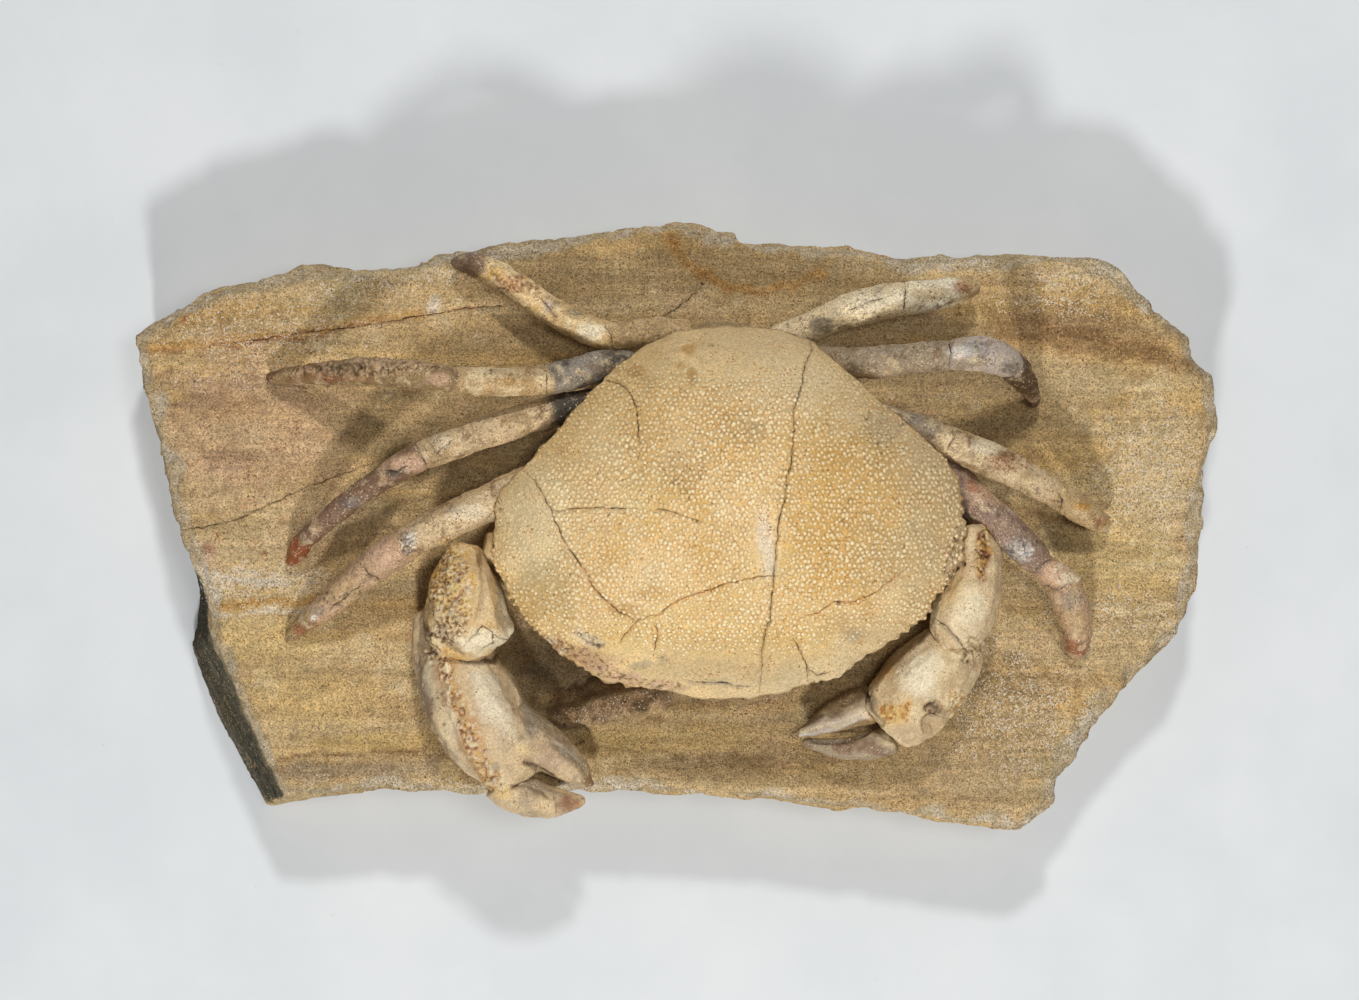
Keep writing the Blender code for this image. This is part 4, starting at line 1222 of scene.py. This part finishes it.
def limb(name, nodes, slot, seed):
    """A leg, or one piece of a claw, with its stains, grooves, pits and beads."""
    shape = LIMB_SHAPES[slot]
    swelling = shape["swelling"] + THICKER.get(name, 0.0)
    piece = fine_copy(nodes, name + "_stone", shape["voxel"], swelling, LIMB_EVENING, shape["sharp_over"])
    mesh = piece.data
    points, normals = points_of(mesh), normals_of(mesh)
    coat = Coat(points, "bone")
    up = smoothstep((normals[:, 2] + 0.35) / 0.6)
    paint_limb(coat, nodes, up, seed, shape["dirt"])
    shifted = points + seed * LIMB_SHIFT
    folds = np.abs(noise(shifted, 3.0, 5, 2))
    relief = 0.2 * noise(shifted, 4.5, 3, 2) - 0.16 * folds + 0.1 * noise(shifted, 1.2, 4, 2)
    relief *= shape["unevenness"]
    for middle, radii, turn, height in CLAW_FORMS:
        if touches(coat, middle, max(radii)):
            inside = in_oval(coat.places, middle, radii, turn) + 0.12 * coat.ragged
            relief += height * smoothstep(1.2 - 0.8 * inside) * up
    for size, height, crest, crevice, middle, radii, *turn in LIMB_CRUSTS:
        if touches(coat, middle, max(radii)):
            crust(coat, relief, up, size, height, crest, crevice, middle, radii, *turn)
    lay_spots(coat, relief, up, seed)
    for crack in LIMB_LINES:
        if passes(coat, crack[-1]):
            groove(coat, relief, up, *crack)
    # Painted shade: the limb's downward faces are darkened with earth
    coat.lay("earth", 0.55 * smoothstep((0.25 - normals[:, 2]) / 0.8))
    move_points(mesh, points + normals * relief[:, None])
    coat.keep_on(mesh)
    finish_piece(piece, shape["material"], slot, *nodes)


def limbs():
    """Each leg becomes one piece, and each node of a claw stays a piece of its own."""
    groups = {}
    for node in sorted(LIMB_TONES):
        name = node.rsplit("_", 1)[0] if "leg" in node else node
        groups.setdefault(name, []).append(node)
    for number, (name, nodes) in enumerate(sorted(groups.items())):
        limb(name, nodes, "leg" if "leg" in name else "claw", number)


# The slab
SLAB_VOXEL = 0.97
SLAB_EVENING = 3
SLAB_RADII = (136.5, 76.0)
RIM_STEP = 3.0  # degrees between two points of an outline
CRAB_MIDDLE, CRAB_RADII = (13.0, 3.5), (58.5, 46.0)
# The matrix under the carapace's rear: its height, the gap that it leaves under the carapace, how far it
# comes out from under the margin on the left and on the right, and how far back it begins
MATRIX_HEIGHT = 10.0
MATRIX_GAP = 0.8
APRON_LEFT, APRON_RIGHT = 2.5, 0.5
APRON_TURN, APRON_WIDTH = 12.0, 10.0  # where it begins to narrow, and over what width
MATRIX_START = 14.0
# Clear patches: tone, size, cover, strength and seed, and the oval that they keep to, if there is one
SLAB_MOTTLES = [
    ("brown", 4.0, 0.27, 0.45, 64),
    ("brown", 2.2, 0.36, 0.6, 68, (215, 420), (110, 75)),
    ("orange", 1.8, 0.25, 0.5, 69, (240, 540), (110, 50)),
    ("cream", 3.0, 0.28, 0.5, 65),
    ("flesh", 9.0, 0.35, 0.3, 66),
    ("grey_green", 12.0, 0.35, 0.35, 67),
]
# Stains: tone, oval, strength and turn
SLAB_STAINS = [
    # Painted shadow between the left claw and the carapace
    ("umber", (560, 665), (62, 44), 0.5),
    ("plum", (618, 704), (78, 16), 0.8, 13),
    # Bands of the sand's layers, which run across the top
    ("ochre", (1100, 345), (150, 24), 0.35, -6),
    ("brown", (1060, 325), (160, 22), 0.5, -5),
    ("butter", (980, 310), (34, 16), 0.5),
    ("dun", (760, 270), (170, 28), 0.55, -4),
    ("dun", (560, 280), (90, 26), 0.45, 8),
    ("tan", (640, 235), (120, 14), 0.4, 5),
    ("pink", (250, 430), (120, 90), 0.4),
    ("mauve", (205, 395), (34, 20), 0.35),
    ("brown", (205, 405), (60, 16), 0.35),
    ("brown", (232, 456), (34, 9), 0.4),
    ("mauve", (222, 462), (26, 14), 0.3),
    ("butter", (260, 640), (80, 26), 0.45, 4),
    ("cream", (240, 560), (80, 36), 0.35, 3),
    ("butter", (310, 700), (80, 30), 0.35),
    ("olive", (380, 742), (90, 14), 0.7, 3),
    ("olive", (640, 742), (130, 18), 0.55, 4),
    ("dun", (600, 705), (120, 20), 0.7, 8),
    # Painted shadow of the carapace's front on the slab
    ("brown", (590, 690), (70, 8), 0.5, 10),
    ("brown", (330, 772), (110, 10), 0.4, 1),
    ("dun", (760, 775), (180, 14), 0.65, -3),
    ("brown", (740, 762), (120, 6), 0.4, -3),
    ("tan", (905, 795), (104, 24), 0.5, -4),
    ("cream", (1150, 470), (50, 80), 0.35),
    ("butter", (1120, 560), (70, 60), 0.35),
    ("stone_grey", (1080, 400), (50, 34), 0.4),
    ("butter", (1095, 413), (9, 7), 0.7),
    ("butter", (1108, 428), (6, 5), 0.6),
    ("chalk", (433, 303), (7, 10), 0.5),
    ("rust", (185, 320), (6, 5), 0.7),
    ("rust", (263, 553), (3, 3), 0.8),
    ("pink", (203, 556), (16, 18), 0.7),
    ("rust", (208, 548), (8, 6), 0.45),
    ("dun", (480, 450), (110, 60), 0.4),
    ("drab", (985, 765), (100, 40), 0.5),
    ("dun", (960, 690), (110, 60), 0.55, -20),
    ("tan", (1000, 740), (70, 40), 0.4),
]
# A bank of rubble under the carapace's front: its oval and turn, and its height
RUBBLE = ((622, 703), (76, 17), 13)
RUBBLE_HEIGHT = 5.0
# Where the slab is darkest between the left claw and the carapace
DEEP_SHADE = ((560, 660), (60, 42))
# Veins and bands of colour with clear edges: tone, strength, half of the width, and the line
SLAB_VEINS = [
    ("soot", 0.5, 0.35, [(560, 731), (585, 725), (612, 719), (645, 711), (676, 702)]),
    ("ochre", 0.5, 1.3, [(128, 350), (190, 345), (240, 340), (300, 331), (360, 322), (420, 314)]),
    ("rust", 0.5, 0.5, [(128, 354), (190, 350), (240, 345), (300, 336), (360, 327)]),
    ("ochre", 0.55, 1.3, [
        (665, 235), (680, 255), (700, 272), (730, 285), (770, 290), (800, 283), (820, 276),
    ]),
    ("rust", 0.4, 0.5, [(668, 238), (682, 258), (702, 274), (732, 288), (770, 293), (800, 286)]),
    ("brown", 0.55, 2.4, [(960, 306), (1020, 318), (1080, 330), (1140, 350), (1200, 372)]),
    ("brown", 0.45, 1.2, [(1000, 334), (1060, 346), (1120, 356), (1190, 366)]),
    ("brown", 0.4, 1.6, [(560, 716), (600, 706), (650, 700), (720, 704)]),
    ("umber", 0.35, 0.9, [(560, 754), (620, 748), (700, 756), (790, 762), (860, 764)]),
    ("earth", 0.4, 1.8, [(300, 770), (380, 762), (440, 758)]),
    ("ochre", 0.6, 1.0, [(205, 600), (250, 603), (300, 601), (350, 595)]),
    ("chalk", 0.5, 0.7, [(205, 610), (250, 613), (300, 611), (350, 604)]),
    ("chalk", 0.45, 0.9, [(215, 578), (250, 582), (290, 584)]),
    ("brown", 0.7, 0.6, [(278, 758), (330, 756), (380, 752), (425, 748)]),
    ("drab", 0.6, 2.8, [(290, 775), (360, 772), (430, 768)]),
    ("cream", 0.4, 1.0, [(1070, 606), (1120, 612), (1170, 606)]),
    ("cream", 0.35, 1.0, [(1110, 560), (1150, 566), (1196, 560)]),
]
# Where pale grains lie thick: oval, amount and turn
PALE_PATCHES = [
    ((1125, 612), (80, 26), 0.5, -4),
    ((1010, 705), (90, 60), 0.55, -30),
    ((240, 585), (70, 22), 0.8, 3),
    ((250, 330), (110, 60), 0.35),
    ((1150, 480), (60, 70), 0.5),
    ((1080, 290), (80, 30), 0.5),
    ((940, 260), (90, 12), 0.4),
    ((400, 280), (140, 16), 0.5, 12),
    ((520, 790), (200, 10), 0.5, -3),
]
# Cracks: tone, width and depth, and the line
SLAB_LINES = [
    ("soot", 0.2, 0.1, [(571, 749), (578, 743), (586, 740)]),
    ("rust", 0.2, 0.25, [(240, 342), (300, 334), (360, 326), (420, 316), (470, 308), (505, 305)]),
    ("umber", 0.15, 0.2, [(180, 530), (205, 527), (240, 518), (270, 504), (300, 490)]),
    ("brown", 0.1, 0.1, [(300, 490), (340, 475), (380, 460)]),
    ("umber", 0.14, 0.2, [(640, 330), (662, 318), (685, 302), (700, 288)]),
]
LINE_MARGIN = 0.9  # how far beyond a crack's width the mesh is finer
TOP_FROM, LEVEL_FROM = SLAB_TOP - 6.0, SLAB_TOP - 3.0  # where the top begins, and its level part
# The chipped rim: how wide it is, how much that varies, and how soft its edge is
CHIP_WIDTH, CHIP_SWING, CHIP_EDGE = 3.2, 3.0, 1.6
# The weathered face at the lower left: its limits towards the right, the front and the rear
WEATHERED_RIGHT, WEATHERED_FRONT, WEATHERED_REAR = -80.0, -72.0, -10.0
FOOT = 0.6  # below this height the slab's sides have no relief
FLAT_UNDER = 0.4  # vertices lower than this make the flat underside


def near_slab_lines(points, normals):
    """Which points lie by a crack of the slab's top."""
    places = seen(points)
    chosen = np.zeros(len(points), bool)
    for _, width, _, line in SLAB_LINES:
        chosen |= line_distance(places, line) * PIXEL < width + LINE_MARGIN
    return chosen & (normals[:, 2] > 0.5)


def rim_distance(points, outline):
    """How far points lie from an outline, seen from above."""
    closed = np.vstack([outline, outline[:1]])
    return line_distance(points[:, :2], closed)


def outline_of(points, middle, radii):
    """The rim of some points seen from above: the outermost of them in each direction from their middle."""
    away = (points[:, :2] - middle) / radii
    angle = np.degrees(np.arctan2(away[:, 1], away[:, 0]))
    reach = np.hypot(away[:, 0], away[:, 1])
    rim = []
    for start in np.arange(-180.0, 180.0, RIM_STEP):
        here = (angle >= start) & (angle < start + RIM_STEP)
        if here.any():
            rim.append(points[here][np.argmax(reach[here])][:2])
    return np.array(rim)


def matrix_height(points, top):
    """How much the matrix under the carapace's rear, into which the legs run, raises the slab's top."""
    surface = surface_of("carapace")
    rim = outline_of(points_of(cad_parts["carapace"].data), CRAB_MIDDLE, CRAB_RADII)
    inward = rim_distance(points, rim)
    highest = np.full(len(points), SLAB_TOP + MATRIX_HEIGHT)
    near = (top > 0.5) & (in_oval(points[:, :2], CRAB_MIDDLE, CRAB_RADII) < 1.2)
    for n in np.nonzero(near)[0]:
        x, y, _ = points[n]
        underside = surface.ray_cast(Vector((x * MM, y * MM, 0.0)), Vector((0, 0, 1)))[0]
        if underside is None:
            inward[n] *= -1.0
        else:
            highest[n] = min(highest[n], underside.z / MM - MATRIX_GAP)
    apron = APRON_LEFT - (APRON_LEFT - APRON_RIGHT) * smoothstep((points[:, 0] - APRON_TURN) / APRON_WIDTH)
    share = near * smoothstep((inward + apron + 0.6 * noise(points, 4.0, 29, 2)) / 4.0)
    behind = smoothstep((points[:, 1] - MATRIX_START) / 8.0)
    return np.maximum(highest - points[:, 2], 0.0) * share * behind


def paint_slab(coat, top):
    """The sand's layers, and the patches, stains, veins, pale grains and painted shadow over them."""
    coat.wash("pale_sand", 0.6, (45.0, 5.0, 12.0), 61, 4, -0.45, 1.0)
    coat.lay("sand", 0.3)
    coat.wash("earth", 0.38, (28.0, 3.2, 9.0), 62, 3, -0.1, 1.0)
    coat.wash("honey", 0.3, (60.0, 6.0, 12.0), 63, 3, 0.0, 1.0 / 1.5)
    for tone, size, cover, strength, seed, *oval in SLAB_MOTTLES:
        within = smoothstep((1.3 - in_oval(coat.places, *oval)) / 0.6) if oval else 1.0
        coat.mottle(tone, size, cover, strength, seed, within)
    for stain in SLAB_STAINS:
        coat.stain(*stain)
    for vein in SLAB_VEINS:
        band(coat, *vein, top)
    for patch in PALE_PATCHES:
        coat.scatter(*patch)
    # Painted shadow between the left claw and the carapace
    coat.painted_shade = 0.5 * smoothstep(1.25 - in_oval(coat.places, *DEEP_SHADE) - 0.2 * coat.ragged)


def raise_banks(coat, relief, top):
    """The rubble under the carapace's front, and the matrix under its rear."""
    points = coat.points
    bank = smoothstep((1.1 - in_oval(coat.places, *RUBBLE) - 0.15 * coat.ragged) / 0.35) * top
    matrix = matrix_height(points, top)
    relief += bank * (RUBBLE_HEIGHT + 0.7 * noise(points, 4.0, 26, 3)) + matrix
    rough = smoothstep(matrix / 3.0)
    relief += 0.8 * rough * noise(points, 4.0, 30, 3)
    coat.lay("drab", 0.5 * rough)
    coat.wash("umber", 0.5, 2.5, 31, 3, 0.1, 0.4, rough)
    coat.wash("umber", 0.6, 1.9, 27, 2, 0.15, 0.4, bank)
    coat.pale = np.maximum(coat.pale, 0.15 * bank)
    coat.wash("flesh", 0.6, 1.7, 28, 2, 0.1, 0.4, bank)


def chip_rim(coat, relief, top):
    """The chips along the rim of the slab's top."""
    level = coat.points[coat.points[:, 2] > LEVEL_FROM]
    inside = rim_distance(coat.points, outline_of(level, (0.0, 0.0), SLAB_RADII))
    swing = CHIP_SWING * noise(coat.points, 8.0, 5, 2)
    chipped = smoothstep((CHIP_WIDTH + swing - inside) / CHIP_EDGE) * top
    coat.lay("stone_grey", 0.65 * chipped)
    coat.wash("chalk", 0.3, 2.5, 8, 2, -0.4, 1.0, chipped)
    relief -= 0.6 * chipped * (1.0 + noise(coat.points, 2.2, 6, 2))


def break_sides(coat, relief, side, normals):
    """The layers and the broken stone of the slab's sides, and the weathered face at the lower left."""
    points = coat.points
    # The sides' pale sand colour, partly painted light that lifts their shading
    coat.lay("pale_sand", 0.6 * side)
    layered = noise(points, (16.0, 16.0, 1.8), 9, 3)
    coat.lay("umber", 0.4 * side * smoothstep(layered * 1.6))
    coat.lay("grey_green", 0.4 * side * smoothstep(-layered * 1.6))
    coat.wash("honey", 0.4, (40.0, 40.0, 7.0), 10, 2, 0.0, 1.0 / 1.6, side)
    weathered = smoothstep((-normals[:, 0] - 0.45 + 0.15 * coat.ragged) / 0.15)
    weathered *= side * (points[:, 0] < WEATHERED_RIGHT)
    weathered *= smoothstep((points[:, 1] - WEATHERED_FRONT) / 3.0)
    weathered *= smoothstep((WEATHERED_REAR - points[:, 1] + 3.0 * coat.ragged) / 4.0)
    coat.lay("moss", 0.92 * weathered)
    coat.lay("charcoal", 0.5 * weathered * smoothstep(layered * 1.6))
    coat.lay("ash", 0.35 * weathered * smoothstep(-layered * 2.0 - 0.4))
    broken = 0.9 * np.abs(noise(points, (13.0, 13.0, 8.0), 18, 2)) + 0.6 * noise(points, 5.0, 7, 3)
    relief += side * (broken - 0.5 + 0.3 * noise(points, 2.0, 17, 2) + 0.45 * layered)


def slab():
    """The slab of sandstone, with its banks, cracks, chipped rim and broken sides."""
    piece = welded_copy("sandstone_slab", "sandstone_slab_stone")
    remesh(piece, SLAB_VOXEL, SLAB_EVENING)
    split_near(piece, near_slab_lines, 2)
    mesh = piece.data
    points, normals = points_of(mesh), normals_of(mesh)
    top = smoothstep((normals[:, 2] - 0.1) / 0.4) * (points[:, 2] > TOP_FROM)
    coat = Coat(points, "tan")
    paint_slab(coat, top)
    relief = 0.35 * noise(points, 14.0, 1, 2) + 0.2 * noise(points, 2.4, 2, 3) * (0.6 + 0.4 * top)
    raise_banks(coat, relief, top)
    for crack in SLAB_LINES:
        groove(coat, relief, top, *crack)
    chip_rim(coat, relief, top)
    break_sides(coat, relief, 1.0 - top, normals)
    above_foot = smoothstep((points[:, 2] - FOOT) / 2.0)
    move_points(mesh, points + normals * (relief * above_foot)[:, None])
    coat.keep_on(mesh)
    flatten_underside(mesh)
    finish_piece(piece, SANDSTONE, "sandstone", "sandstone_slab")


def flatten_underside(mesh):
    """Makes the slab's underside one flat face again."""
    work = bmesh.new()
    work.from_mesh(mesh)
    for vertex in work.verts:
        if vertex.co.z < FLAT_UNDER * MM:
            vertex.co.z = 0.0
    under = [face for face in work.faces if all(vertex.co.z == 0.0 for vertex in face.verts)]
    bmesh.ops.dissolve_faces(work, faces=under, use_verts=False)
    work.to_mesh(mesh)
    work.free()


# The table, the light and the camera
FLOOR_SIZE, FLOOR_HEIGHT = 24.0, -0.0003  # metres
FLOOR_DARK, FLOOR_LIGHT = (0.59, 0.61, 0.62, 1.0), (0.64, 0.655, 0.66, 1.0)
# The floor glows, and more so further out: its colour, the least and the most, and the metres between them
GLOW = (0.96, 0.985, 1.0, 1.0)
GLOW_LEAST, GLOW_MOST = 0.11, 0.6
GLOW_NEAR, GLOW_FAR = 0.3, 1.4
# The lights: place, size, and power in watts
LIGHTS = {
    "front_light": ((-80.0, -843.0, 718.0), 120.0, 7.2),
    "rear_light": ((60.0, 737.0, 950.0), 110.0, 5.8),
    "top_light": ((230.0, 60.0, 1150.0), 240.0, 2.6),
}
SKY, SKY_STRENGTH = (0.94, 0.97, 1.0, 1.0), 0.13


def table():
    """A wide pale floor with faint clouds and a few flecks."""
    bpy.ops.mesh.primitive_plane_add(size=FLOOR_SIZE, location=(0.0, 0.0, FLOOR_HEIGHT))
    floor = bpy.context.object
    floor.name = "table"
    made, tree, shader, place = shader_tree("table_paint")
    clouds = above(tree, grain(tree, place, 60.0, 4.0), 0.4, 0.65)
    colour = blended(tree, clouds, FLOOR_DARK, FLOOR_LIGHT)
    flecks = above(tree, grain(tree, place, 2.2, 2.0), 0.74, 0.8, 0.35)
    colour = blended(tree, flecks, colour, rgba("tan"))
    tree.links.new(colour, shader.inputs["Base Color"])
    shader.inputs["Roughness"].default_value = 0.65
    shader.inputs["Emission Color"].default_value = GLOW
    distance = add(tree, "VectorMath", {0: place}, operation="LENGTH").outputs["Value"]
    glow = between(tree, distance, GLOW_NEAR, GLOW_FAR, GLOW_LEAST, GLOW_MOST)
    tree.links.new(glow, shader.inputs["Emission Strength"])
    floor.data.materials.append(made)


def area_light(name, place, size, power):
    """A round white light that faces the middle of the slab's top."""
    light = bpy.data.lights.new(name, "AREA")
    light.shape = "DISK"
    light.size = size * MM
    light.energy = power
    lamp = link(bpy.data.objects.new(name, light))
    lamp.location = Vector(place) * MM
    direction = Vector((0.0, 0.0, SLAB_TOP)) - Vector(place)
    lamp.rotation_euler = direction.to_track_quat("-Z", "Y").to_euler()


def studio():
    """The lights, and a weak even light from all sides."""
    for name, settings in LIGHTS.items():
        area_light(name, *settings)
    world = bpy.data.worlds.new("studio")
    world.use_nodes = True
    background = world.node_tree.nodes["Background"]
    background.inputs["Color"].default_value = SKY
    background.inputs["Strength"].default_value = SKY_STRENGTH
    bpy.context.scene.world = world
    bpy.context.scene.view_settings.view_transform = "Standard"


def camera():
    """The camera, straight above the slab."""
    data = bpy.data.cameras.new("camera")
    data.lens = LENS
    data.sensor_width = SENSOR
    data.clip_start = 0.01
    made = link(bpy.data.objects.new("camera", data))
    made.location = Vector(CAMERA) * MM
    bpy.context.scene.camera = made


camera()
studio()
table()
slab()
shell_piece, shell_paint = carapace()
granules(shell_piece, shell_paint)
limbs()
